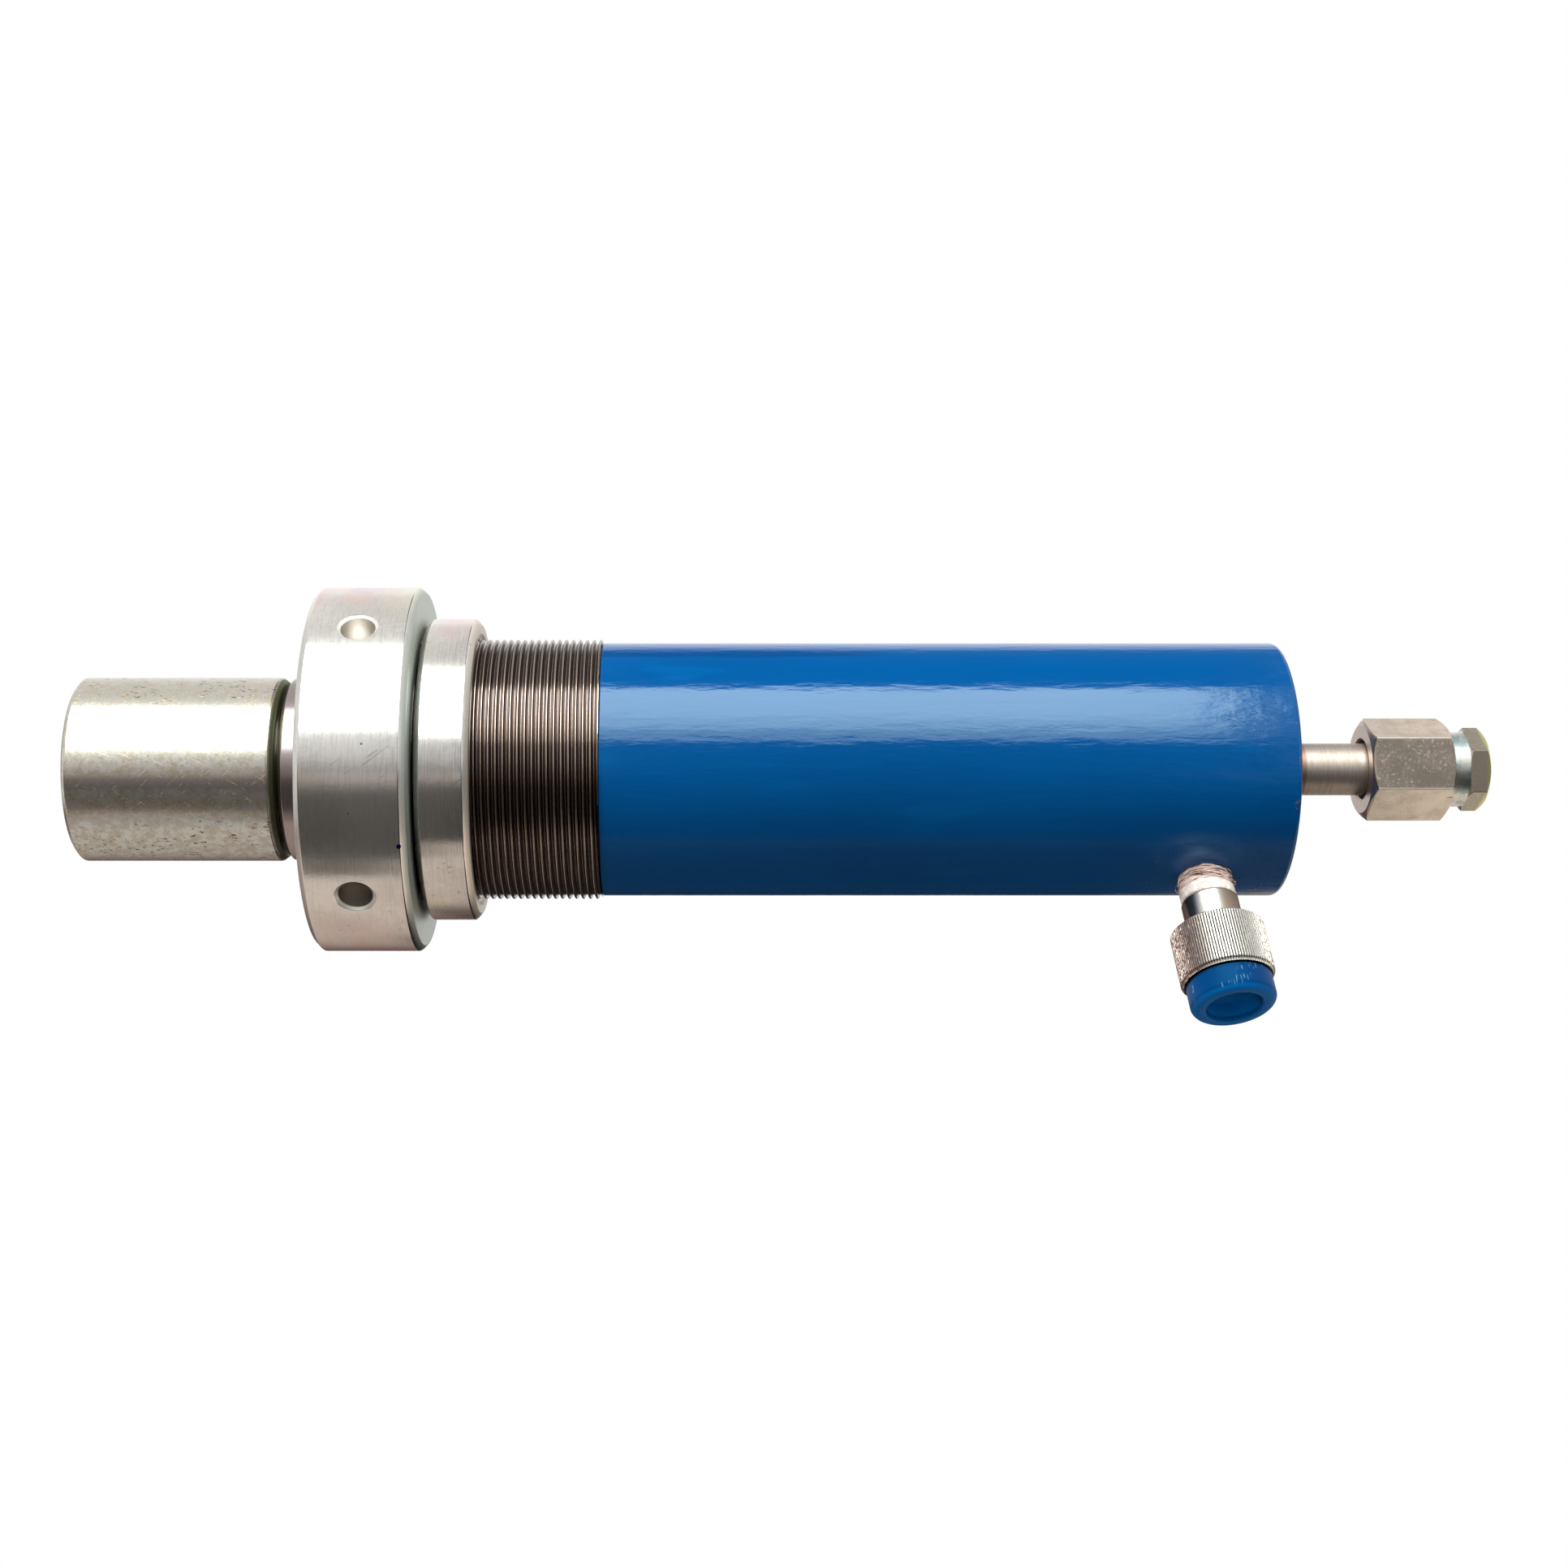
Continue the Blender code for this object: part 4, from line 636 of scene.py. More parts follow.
def makeRodCap():
    front, rear, radius = boxOf("rod_cap")
    nose = boxOf("plunger")[0] - gap
    c, bore = capSize["chamfer"], capSize["bore"]
    cap = lathe("rodCap", [
        (front, radius - c), (front + c * 0.8, radius), (rear - c, radius), (rear, radius - c * 0.8),
        (rear, bore), (nose, bore)], capSize["around"])
    soften(cap, capSize["edge"], 3)
    smooth(cap)
    dress(cap, clearZinc(), "rod", "zinc_plate", "rod_cap")


rodSize = {"chamfer": 0.0012, "edge": 0.0002, "noseRadius": 0.021, "noseWall": 0.008, "noseBore": 0.0125,
           "shoulder": 0.001, "shoulderWall": 0.006, "boreRadius": 0.0165, "pistonSeat": 0.022, "around": 128}


def makePlunger():
    noseFront, radius = boxOf("plunger")[::2]
    shoulder = boxOf("rod_cap")[1] + rodSize["shoulder"]
    boreEnd = shoulder + rodSize["shoulderWall"]
    pistonFront = boxOf("piston")[0] - gap
    nutRear = boxOf("piston_nut")[1]
    c, nose, seat = rodSize["chamfer"], rodSize["noseRadius"], rodSize["pistonSeat"]
    rod = lathe("plungerRod", [
        (noseFront, nose - c), (noseFront + c, nose), (shoulder, nose), (shoulder, radius - c),
        (shoulder + c, radius), (pistonFront, radius), (pistonFront, seat), (nutRear, seat),
        (nutRear, rodSize["boreRadius"]), (boreEnd, rodSize["boreRadius"]), (boreEnd, rodSize["noseBore"]),
        (noseFront + rodSize["noseWall"], rodSize["noseBore"])], rodSize["around"])
    soften(rod, rodSize["edge"])
    smooth(rod)
    dress(rod, groundRod(), "rod", "ground_steel", "plunger")


# the two ring nuts
nutSize = {"chamfer": 0.0016, "lockChamfer": 0.0019, "boreChamfer": 0.0014, "edge": 0.00022,
           "boreRadius": 0.0378, "around": 192}
holeSize = {"count": 4, "radius": 0.0048, "depth": 0.011, "tip": 0.0004, "point": 0.002,
            "countersink": 0.0010, "over": 0.0011, "phase": 48.5, "around": 64}

# nicks and drops: place along the ram, angle over the lens axis, size, tone
nutMarks = ((-0.0019, -23.3, 0.0008, "blue"), (-0.0114, 7.5, 0.0004, "dark"), (-0.0111, 6.8, 0.0004, "light"),
            (-0.0011, 9.0, 0.0004, "dark"), (-0.0008, 8.0, 0.0005, "light"), (-0.0150, -13.0, 0.0003, "dark"))
ringMarks = ((0.0155, 54.0, 0.0010, "dark"), (0.0160, 51.0, 0.0007, "dark"), (0.0157, -9.0, 0.0003, "dark"))


def threadedRing(name, node, corners):  # the outer corners, and a bore with its two chamfers
    front, rear = boxOf(node)[:2]
    b, bore = nutSize["boreChamfer"], nutSize["boreRadius"]
    inside = [(rear, bore + b), (rear - b, bore), (front + b, bore), (front, bore + b)]
    ring = lathe(name, corners + inside, nutSize["around"], True)
    soften(ring, nutSize["edge"])
    return ring


def makeRingNut():
    front, rear, radius = boxOf("ring_nut")
    c = nutSize["chamfer"]
    nut = threadedRing("ringNut", "ring_nut", [
        (front, radius - c), (front + c, radius), (rear - c, radius), (rear, radius - c)])
    h = holeSize
    for number in range(h["count"]):
        angle = math.radians(h["phase"] + 360 / h["count"] * number)
        drill = lathe("drill", [
            (radius - h["depth"] - h["point"], h["tip"]), (radius - h["depth"], h["radius"]),
            (radius - h["countersink"], h["radius"]),
            (radius + h["over"], h["radius"] + h["countersink"] + h["over"])], h["around"])
        outward = Vector((0, -math.cos(angle), math.sin(angle)))
        moveTo(drill, layOn(((front + rear) / 2, 0, 0), outward))
        cut(nut, drill)
    smooth(nut)
    finish = turnedZinc("ring_nut", 0.3, 0.9, "green", nutMarks)
    dress(nut, finish, "ring_nut_body", "turned_steel", "ring_nut")


def makeLockRing():
    front, rear, radius = boxOf("lock_ring")
    c = nutSize["lockChamfer"]
    ring = threadedRing("lockRing", "lock_ring", [
        (front, radius - c), (front + c * 0.8, radius), (rear - c * 0.8, radius), (rear, radius - c)])
    smooth(ring)
    finish = turnedZinc("lock_ring", 0.2, 0.9, "beige", ringMarks)
    dress(ring, finish, "lock_ring_body", "turned_steel", "lock_ring")


# collar with its cut thread
collarSize = {"edge": 0.0002, "front": 0.0006, "spigot": 0.0328, "bore": 0.030, "boreFront": 0.018,
              "rodBore": 0.02685, "recess": 0.0306, "recessRear": -0.021, "core": 0.00005, "end": 0.0001,
              "around": 128}
threadSize = {
    "pitch": 0.002,
    "depth": 0.00125,
    "phase": 0.0004,       # where a crest passes over the top of the collar
    "steps": 120,
    "sectionPoints": 12,
    "frontChamfer": 0.0010,
    "sunk": 0.0002,        # how far the thread reaches down into the collar
    "overlap": 0.00001,
    "merge": 0.000001,
}


def makeCollar():
    k = collarSize
    front, rear, radius = boxOf("threaded_collar")
    threadRear = boxOf("barrel_tube")[0] - k["end"]
    root = radius - threadSize["depth"]
    core = root - k["core"]
    collar = lathe("threadedCollar", [
        (front, core - k["front"]), (front + k["front"], core), (threadRear, core), (threadRear, k["spigot"]),
        (rear, k["spigot"]), (rear, k["bore"]), (k["boreFront"], k["bore"]), (k["boreFront"], k["rodBore"]),
        (k["recessRear"], k["rodBore"]), (k["recessRear"], k["recess"]), (front, k["recess"])],
        k["around"], True)
    soften(collar, k["edge"])
    joinTo(collar, makeThread(front, threadRear, root))
    smooth(collar, 40)
    dress(collar, cutThread(radius, root), "barrel", "dark_steel", "threaded_collar")


def makeThread(front, rear, root):  # one turn's section, wound on by a screw and faced off at both ends
    t = threadSize
    half, foot = t["pitch"] / 2, root - t["sunk"]
    start = t["phase"] + t["pitch"] * math.floor((front - t["phase"]) / t["pitch"])
    count = t["sectionPoints"]
    section = [(-half, foot)]
    for number in range(count + 1):
        along = 2 * number / count - 1
        wave = math.cos(math.pi * along)
        height = 0.5 + wave * (0.7 - 0.2 * wave * wave)
        section.append((along * (half + t["overlap"]), root + t["depth"] * height))
    section.append((half, foot))
    bpy.ops.object.select_all(action="DESELECT")
    bpy.ops.mesh.primitive_circle_add(vertices=len(section), radius=half, location=(0, 0, 0))
    ridge = bpy.context.object
    ridge.name = "ridge"
    for vertex, (x, r) in zip(ridge.data.vertices, section):
        vertex.co = (start + x, 0, r)
    turns = math.ceil((rear - start) / t["pitch"]) + 1
    applyModifier(ridge, "SCREW", axis="X", angle=math.tau, screw_offset=t["pitch"], iterations=turns,
                  steps=t["steps"], render_steps=t["steps"], use_merge_vertices=False)
    chooseOnly(ridge)
    bpy.ops.object.mode_set(mode="EDIT")
    bpy.ops.mesh.select_all(action="SELECT")
    bpy.ops.mesh.remove_doubles(threshold=t["merge"])
    bpy.ops.mesh.select_all(action="DESELECT")
    bpy.ops.mesh.select_non_manifold()
    bpy.ops.mesh.fill_holes(sides=0)
    bpy.ops.mesh.select_all(action="SELECT")
    bpy.ops.mesh.normals_make_consistent(inside=False)
    bpy.ops.mesh.bisect(plane_co=(rear, 0, 0), plane_no=(1, 0, 0), clear_outer=True)
    bpy.ops.mesh.select_all(action="SELECT")
    bpy.ops.mesh.bisect(plane_co=(front + t["frontChamfer"], 0, 0), plane_no=(1, 0, 0), clear_inner=True)
    bpy.ops.mesh.select_all(action="DESELECT")
    bpy.ops.mesh.select_non_manifold()
    bpy.ops.mesh.extrude_edges_move()
    bpy.ops.object.mode_set(mode="OBJECT")
    for vertex in ridge.data.vertices:  # the faced ends reach down into the collar
        if vertex.select:
            widen(vertex, foot / fromAxis(vertex))
    bpy.ops.object.mode_set(mode="EDIT")
    bpy.ops.mesh.select_all(action="SELECT")
    bpy.ops.mesh.remove_doubles(threshold=t["merge"])
    bpy.ops.mesh.normals_make_consistent(inside=False)
    bpy.ops.object.mode_set(mode="OBJECT")
    return ridge


wiperSize = {"lipLength": 0.0014, "lipRear": 0.0017, "lipFront": 0.0012, "edge": 0.00018, "around": 96}


def makeWiper():
    w = wiperSize
    front, rear, radius = boxOf("rod_wiper")
    rod = boxOf("plunger")[2]
    lip = front + w["lipLength"]
    wiper = lathe("rodWiper", [
        (rear, radius), (lip, radius), (lip, rod + w["lipRear"]), (front, rod + w["lipFront"]),
        (front, rod + gap), (rear, rod + gap)], w["around"], True)
    soften(wiper, w["edge"])
    smooth(wiper)
    dress(wiper, blackRubber(), "barrel", "seal_polymer", "rod_wiper")


# barrel and its welded base
barrelSize = {"edge": 0.0010, "frontEdge": 0.00025, "bore": 0.030, "boreEdge": 0.0006, "boreChamfer": 0.0008,
              "seat": 0.0331, "seatDepth": 0.0053, "around": 192, "portRadius": 0.0072, "portFrom": -0.013,
              "portTo": 0.01, "portAround": 64}


def makeBarrel():
    front, rear, radius = boxOf("barrel_tube")
    b = barrelSize
    edge, seatRear = b["edge"], front + b["seatDepth"]
    shell = lathe("barrelShell", [
        (front, radius - b["frontEdge"]), (front + b["frontEdge"], radius), (rear - edge, radius),
        (rear - edge * 0.3, radius - edge * 0.3), (rear, radius - edge), (rear, b["bore"] + b["boreEdge"]),
        (rear - b["boreChamfer"], b["bore"]), (seatRear, b["bore"]), (seatRear, b["seat"]),
        (front, b["seat"])], b["around"], True)
    soften(shell, b["frontEdge"], 3, 20)
    port = b["portRadius"]
    drill = lathe("drill", [(b["portFrom"], port), (b["portTo"], port)], b["portAround"])
    moveTo(drill, couplerTurn)
    smooth(shell)
    chooseOnly(shell)
    bpy.ops.object.duplicate()
    plain = bpy.context.object
    cut(shell, drill)
    applyModifier(shell, "DATA_TRANSFER", object=plain, use_loop_data=True,
                  data_types_loops={"CUSTOM_NORMAL"}, loop_mapping="POLYINTERP_NEAREST",
                  use_max_distance=True, max_distance=0.0001)
    bpy.data.objects.remove(plain, do_unlink=True)
    dress(shell, blueEnamel(), "barrel", "blue_paint", "barrel_tube")


baseSize = {"chamfer": 0.001, "weldDip": ((0.0012, 0.0), (0.0007, 0.0002), (0.0004, 0.0008), (0.0, 0.0018)),
            "socket": 0.0078, "socketEdge": 0.0003, "socketFloor": 0.2342, "oilWay": 0.003,
            "hollowRear": 0.226, "hollow": 0.014, "around": 128}


def makeBase():  # the disc that closes the barrel, with a shallow weld dip round its rim
    front, rear, radius = boxOf("base_plug")
    b = baseSize
    dip = [(rear - back, radius - deep) for back, deep in b["weldDip"]]
    base = lathe("baseDisc", [(front, radius - b["chamfer"]), (front + b["chamfer"], radius)] + dip + [
        (rear, b["socket"] + b["socketEdge"]), (rear - b["socketEdge"], b["socket"]),
        (b["socketFloor"], b["socket"]), (b["socketFloor"], b["oilWay"]), (b["hollowRear"], b["oilWay"]),
        (b["hollowRear"], b["hollow"]), (front, b["hollow"])], b["around"], True)
    smooth(base)
    dress(base, bpy.data.materials["blueEnamel"], "barrel", "blue_paint", "base_plug")


# stub pipe, braze, union nut and plug
pipeSize = {"frontEdge": 0.0005, "rearEdge": 0.0006, "bore": 0.0035, "around": 96}
brazeSize = {"sunk": 0.0001, "clear": 0.00005, "profile": ((0.0004, 0.0011), (0.0009, 0.0006)),
             "toe": 0.0001, "length": 0.0019, "wander": 0.0004, "lumps": 260, "around": 72}


def makePipe():
    front, rear, radius = boxOf("stub_pipe")
    p = pipeSize
    pipe = lathe("stubPipe", [
        (front, radius - p["frontEdge"]), (front + p["frontEdge"], radius), (rear - p["rearEdge"], radius),
        (rear, radius - p["rearEdge"]), (rear, p["bore"]), (front, p["bore"])], p["around"], True)
    smooth(pipe)
    dress(pipe, pipeSteel(), "barrel", "ground_steel", "stub_pipe")
    b = brazeSize
    brazeFront, brazeRear, brazeRadius = boxOf("pipe_braze")
    inner, foot = radius + b["clear"], brazeFront - b["sunk"]
    slope = [(brazeFront + along, inner + height) for along, height in b["profile"]]
    fillet = lathe("pipeBraze", [(foot, brazeRadius)] + slope + [
        (brazeRear, inner + b["toe"]), (brazeRear, inner), (foot, inner)], b["around"], True)
    for vertex in fillet.data.vertices:  # a run of braze is never quite even
        wander = noise.noise(vertex.co * b["lumps"]) * b["wander"]
        vertex.co.x += wander * (vertex.co.x - brazeFront) / b["length"]
    smooth(fillet, 60)
    dress(fillet, copperBraze(), "barrel", "braze", "pipe_braze")


def hexBar(name, front, rear, flats, facetAngle):
    corner = flats / 2 / math.cos(math.pi / 6)
    bpy.ops.object.select_all(action="DESELECT")
    bpy.ops.mesh.primitive_cylinder_add(vertices=6, radius=corner, depth=rear - front)
    bar = bpy.context.object
    bar.name = name
    lay = Matrix.Rotation(math.radians(90 - facetAngle), 4, "X") @ Matrix.Rotation(math.pi / 2, 4, "Y")
    moveTo(bar, Matrix.Translation(((front + rear) / 2, 0, 0)) @ lay)
    soften(bar, hexEdge)
    return bar


def hexForm(front, rear, flats, step=0.0004):  # the turned shape that leaves curved chamfers on a hexagon
    top = flats / 2 / math.cos(math.pi / 6) + step
    low = flats / 2 - step
    depth = (top - low) * math.tan(math.radians(30))
    return [(front, low), (front + depth, top), (rear - depth, top), (rear, low)]


unionSize = {"flats": 0.026, "facet": 7.7, "bore": 0.0086, "boreEdge": 0.0005, "thread": 0.0110,
             "threadEdge": 0.0006, "shoulder": 0.0055, "around": 128}
plugSize = {"flats": 0.021, "facet": -3.0, "collar": 0.0108, "collarWidth": 0.0042, "collarEdge": 0.0002,
            "noseRadius": 0.0094, "noseLength": 0.0012, "thread": 0.0106, "around": 128,
            "stemEnd": ((0.0003, 0.0), (0.0006, 0.0008))}  # how the stem ends inside the hexagon
hexEdge = 0.00025


def makeUnionNut():
    front, rear = boxOf("union_nut")[:2]
    u = unionSize
    shoulder = front + u["shoulder"]
    nut = hexBar("unionNut", front, rear, u["flats"], u["facet"])
    form = lathe("form", hexForm(front, rear, u["flats"]) + [
        (rear, u["thread"] + u["threadEdge"]), (rear - u["threadEdge"], u["thread"]), (shoulder, u["thread"]),
        (shoulder, u["bore"]), (front + u["boreEdge"], u["bore"]), (front, u["bore"] + u["boreEdge"])],
        u["around"], True)
    cut(nut, form, "INTERSECT")
    smooth(nut, 20)
    dress(nut, dullNickel(), "union_nut_body", "nickel_plate", "union_nut")


def makePlug():
    nose, rear = boxOf("blanking_plug")[:2]
    p = plugSize
    front = boxOf("union_nut")[1] + gap
    hexFront = front + p["collarWidth"]
    plug = hexBar("blankingPlug", hexFront, rear, p["flats"], p["facet"])
    form = lathe("form", hexForm(hexFront, rear, p["flats"]), p["around"])
    cut(plug, form, "INTERSECT")
    stemEnd = [(hexFront + along, p["collar"] - sunk) for along, sunk in p["stemEnd"]]
    stem = lathe("stem", [
        (nose, p["noseRadius"]), (nose + p["noseLength"], p["thread"]), (front, p["thread"]),
        (front, p["collar"] - p["collarEdge"]), (front + p["collarEdge"], p["collar"])] + stemEnd, p["around"])
    cut(plug, stem, "UNION")
    smooth(plug, 20)
    dress(plug, yellowZinc(), "plug_body", "zinc_plate", "blanking_plug")


# side coupler, made along X from the barrel's surface and then laid on its own axis
couplerSize = {"foot": -0.012, "nipple": 0.0079, "nippleFront": 0.0076, "nippleEdge": 0.0006, "shank": 0.0064,
               "noseEnd": 0.030, "noseEdge": 0.0005, "noseRadius": 0.0080, "groove": 0.0206,
               "grooveRadius": 0.0064, "seal": 0.0272, "sealRadius": 0.0062, "grooveHalf": 0.0012,
               "mouth": 0.0032, "seatFront": 0.0270, "seatRear": 0.0254, "valve": 0.0048, "valveRear": 0.0145,
               "oilWay": 0.0025, "edge": 0.00012, "around": 96}


def makeCouplerBody():
    c = couplerSize
    nipple, nose, edge, end = c["nipple"], c["noseRadius"], c["nippleEdge"], c["noseEnd"]
    grooves = []
    places = ((c["groove"], c["grooveRadius"], nipple), (c["seal"], c["sealRadius"], nose))
    for place, floor, before in places:
        near, far = place - c["grooveHalf"], place + c["grooveHalf"]
        grooves += [(near, before), (near, floor), (far, floor), (far, nose)]
    body = lathe("couplerBody", [
        (c["foot"], c["shank"]), (c["nippleFront"], c["shank"]), (c["nippleFront"], nipple - edge),
        (c["nippleFront"] + edge, nipple)] + grooves + [
        (end - c["noseEdge"], nose), (end, nose - c["noseEdge"]), (end, c["mouth"]),
        (c["seatFront"], c["mouth"]), (c["seatRear"], c["valve"]), (c["valveRear"], c["valve"]),
        (c["valveRear"], c["oilWay"]), (c["foot"], c["oilWay"])], c["around"], True)
    soften(body, c["edge"])
    smooth(body)
    moveTo(body, couplerTurn)
    dress(body, brightNickel(), "barrel", "nickel_plate", "coupler_body")


sleeveSize = {"front": 0.0170, "rear": 0.0335, "radius": 0.0129, "chamfer": 0.0011, "rearEdge": 0.0004,
              "ribs": 106, "ribDepth": 0.00042, "ribZone": 0.0006, "mouth": 0.0121, "mouthEdge": 0.0001,
              "bore": 0.0082, "thread": 0.0106, "threadEdge": 0.0002, "threadStep": 0.0008,
              "threadFront": 0.0012, "lip": 0.0021}


def makeSleeve():  # straight knurl: every fourth column is pulled in
    s = sleeveSize
    front, rear, radius, c = s["front"], s["rear"], s["radius"], s["chamfer"]
    columns = s["ribs"] * 4
    sleeve = lathe("couplerSleeve", [
        (front, radius - c), (front + c * 0.8, radius), (rear - c, radius),
        (rear - s["rearEdge"], radius - c * 0.5), (rear, s["mouth"] + s["mouthEdge"]), (rear, s["mouth"]),
        (rear - s["threadStep"], s["thread"] + s["threadEdge"]), (rear - s["threadFront"], s["thread"]),
        (front + s["lip"], s["thread"]), (front + s["lip"], s["bore"]), (front, s["bore"])], columns, True)
    step = math.tau / columns
    for vertex in sleeve.data.vertices:
        out = fromAxis(vertex)
        column = round(math.atan2(vertex.co.z, vertex.co.y) / step) % 4
        if out > radius - s["ribZone"] and column == 0:
            widen(vertex, 1 - s["ribDepth"] / out)
    smooth(sleeve, 18)
    moveTo(sleeve, couplerTurn)
    dress(sleeve, knurledNickel(front, rear, radius), "sleeve_body", "nickel_plate", "coupler_sleeve")


capTop = {"front": 0.0338, "length": 0.0076, "radius": 0.01175, "round": 0.0022, "edge": 0.0003,
          "recess": 0.0078, "depth": 0.0050, "skirtFrom": 0.0257, "skirtRadius": 0.0100, "skirtTip": 0.0006,
          "wall": 0.0014, "innerEdge": 0.0005, "floorWall": 0.0015, "around": 128,
          # the recess's rim and foot: distance along from the end or the floor, and step out or in
          "rimSteps": ((0.0, 0.0004), (0.0002, 0.0001), (0.0012, 0.0)),
          "footSteps": ((0.0012, 0.0011), (0.0003, 0.0019), (0.0, 0.0032))}


def makeDustCap():
    k = capTop
    end, radius, skirt = k["front"] + k["length"], k["radius"], k["skirtRadius"]
    floor, recess = end - k["depth"], k["recess"]
    inner, back = skirt - k["wall"], floor - k["floorWall"]
    rounding = [(end - k["round"] * (1 - math.sin(a)), radius - k["round"] * (1 - math.cos(a)))
                for a in (math.radians(d) for d in range(0, 91, 15))]
    rim = [(end - deep, recess + wide) for deep, wide in k["rimSteps"]]
    foot = [(floor + high, recess - narrow) for high, narrow in k["footSteps"]]
    cap = lathe("dustCap", [
        (back, inner - k["innerEdge"]), (back, inner), (k["skirtFrom"], inner),
        (k["skirtFrom"], skirt - k["edge"]), (k["skirtFrom"] + k["skirtTip"], skirt), (k["front"], skirt),
        (k["front"], radius - k["edge"]), (k["front"] + k["edge"], radius)] + rounding + rim + foot,
        k["around"])
    smooth(cap, 50)
    moveTo(cap, couplerTurn)
    dress(cap, bluePlastic(), "dust_cap_body", "blue_plastic", "dust_cap")


wrapSize = {"strands": 28, "inner": 0.0062, "foot": 0.0070, "outer": 0.0075, "top": 0.0042, "bottom": -0.0035,
            "fibre": 0.00018, "steps": 60, "turns": 1.2, "waver": 0.0022, "strayEvery": 7, "around": 72,
            # lowest place, slack and height over the rest, of a laid fibre and of a stray one
            "laid": (-0.0015, 0.0004, 0.0002), "stray": (0.0012, 0.0032, 0.0011)}


def fibrePoint(number, step):  # a point on a wandering coil: every seventh fibre stands off the rest
    w = wrapSize
    share = ((number * 13) % w["strands"]) / w["strands"]
    begin = w["bottom"] * 0.3 + (w["top"] - w["bottom"] * 0.3) * share
    angle = number * 2.4 + math.tau * w["turns"] * step / w["steps"]
    seed = Vector((number * 3.1, step * 0.09, 0.7))
    lowest, slack, proud = w["laid"] if number % w["strayEvery"] else w["stray"]
    x = begin + w["waver"] * (noise.noise(seed) + 0.5 * math.sin(angle * 0.5 + number))
    x = min(max(x, lowest), w["top"] + 0.0003)
    lay = w["foot"] + (w["outer"] - w["foot"]) * min(max(x / w["top"], 0), 1)
    r = min(lay - 0.00025 + slack * abs(noise.noise(seed + Vector((0, 0, 5)))), w["outer"] + proud)
    return x, r * math.cos(angle), r * math.sin(angle), 1


def makeHemp():  # loose fibres wound on the thread, a third of them dark
    w = wrapSize
    top, bottom, outer = w["top"], w["bottom"], w["outer"]
    core = lathe("hempWrap", [
        (bottom, w["foot"] - 0.0003), (0, w["foot"] - 0.0002), (top - 0.0006, outer - 0.0003),
        (top, outer - 0.0008), (top, w["inner"]), (bottom, w["inner"])], w["around"], True)
    plainFaces = len(core.data.polygons)
    for number in range(w["strands"]):
        data = bpy.data.curves.new("strand", "CURVE")
        data.dimensions = "3D"
        data.bevel_depth = w["fibre"] * (0.7 + 0.6 * ((number * 7) % 5) / 4)
        data.bevel_resolution = 0
        data.use_fill_caps = True
        spline = data.splines.new("POLY")
        spline.points.add(w["steps"] - 1)
        for step, point in enumerate(spline.points):
            point.co = fibrePoint(number, step)
        strand = bpy.data.objects.new("strand", data)
        bpy.context.scene.collection.objects.link(strand)
        chooseOnly(strand)
        bpy.ops.object.convert(target="MESH")
        joinTo(core, strand)
    smooth(core, 60)
    moveTo(core, couplerTurn)
    dress(core, hempFibre("hempFibre", (0.96, 0.82, 0.78)), "barrel", "hemp", "hemp_wrap")
    core.data.materials.append(hempFibre("hempFibreDark", (0.17, 0.07, 0.05)))
    faces = core.data.polygons
    perStrand = (len(faces) - plainFaces) // w["strands"]
    for face in faces:
        strand = (face.index - plainFaces) // perStrand
        face.material_index = 1 if face.index >= plainFaces and strand % 3 == 0 else 0


tapeSize = {"low": 0.0043, "high": 0.0075, "inner": 0.0067, "outer": 0.0077, "slant": 0.00035, "phase": 0.6,
            "swell": 0.02, "lumps": 700, "around": 96}


def makeTape():
    t = tapeSize
    low, high, inner, outer = t["low"], t["high"], t["inner"], t["outer"]
    tape = lathe("tapeWrap", [
        (low, outer - 0.0003), (low + 0.0006, outer), (low + 0.0013, outer - 0.0001),
        (low + 0.0016, outer - 0.0003), (low + 0.0020, outer), (high - 0.0002, outer - 0.0002),
        (high, outer - 0.0005), (high, inner), (low, inner)], t["around"], True)
    for vertex in tape.data.vertices:
        if fromAxis(vertex) > inner + 0.0003:
            angle = math.atan2(vertex.co.z, vertex.co.y)
            vertex.co.x += t["slant"] * math.sin(angle + t["phase"])
            widen(vertex, 1 + t["swell"] * noise.noise(vertex.co * t["lumps"]))
    smooth(tape, 60)
    moveTo(tape, couplerTurn)
    dress(tape, threadTape(), "barrel", "tape", "tape_wrap")


# inner parts keep their CAD meshes and get their own finishes
def finishInnerNodes():
    finishes = {
        plainFinish("machinedSteel", (0.62, 0.61, 0.60), (0.50, 0.49, 0.48), 0.25): (
            "piston", "piston_nut", "pipe_collar", "check_poppet"),
        plainFinish("springSteel", (0.22, 0.22, 0.24), (0.14, 0.14, 0.15), 0.3): (
            "return_spring", "valve_spring", "nose_spring_pin", "base_spring_pin", "sleeve_retaining_ring"),
        plainFinish("bearingBronze", (0.66, 0.42, 0.18), (0.52, 0.31, 0.12), 0.28): ("guide_bush",),
        plainFinish("guidePolymer", (0.24, 0.09, 0.03), (0.18, 0.06, 0.02), 0.5, 0.0): (
            "piston_guide_ring", "piston_backup_ring"),
        bpy.data.materials["blackRubber"]: ("piston_seal", "rod_seal", "coupler_o_ring"),
    }
    for material, nodes in finishes.items():
        for node in nodes:
            thing = frame["nodes"][node]
            thing.data.materials.clear()
            thing.data.materials.append(material)


# studio
def showWhite(s, back):  # 1 for the lens, and for reflections of what stands behind the ram
    rays = s.add("ShaderNodeLightPath", output="Is Camera Ray")
    bounced = rays.output("Is Glossy Ray") + rays.output("Is Transmission Ray")
    return (rays + bounced * back).maths("MINIMUM", 1.0)


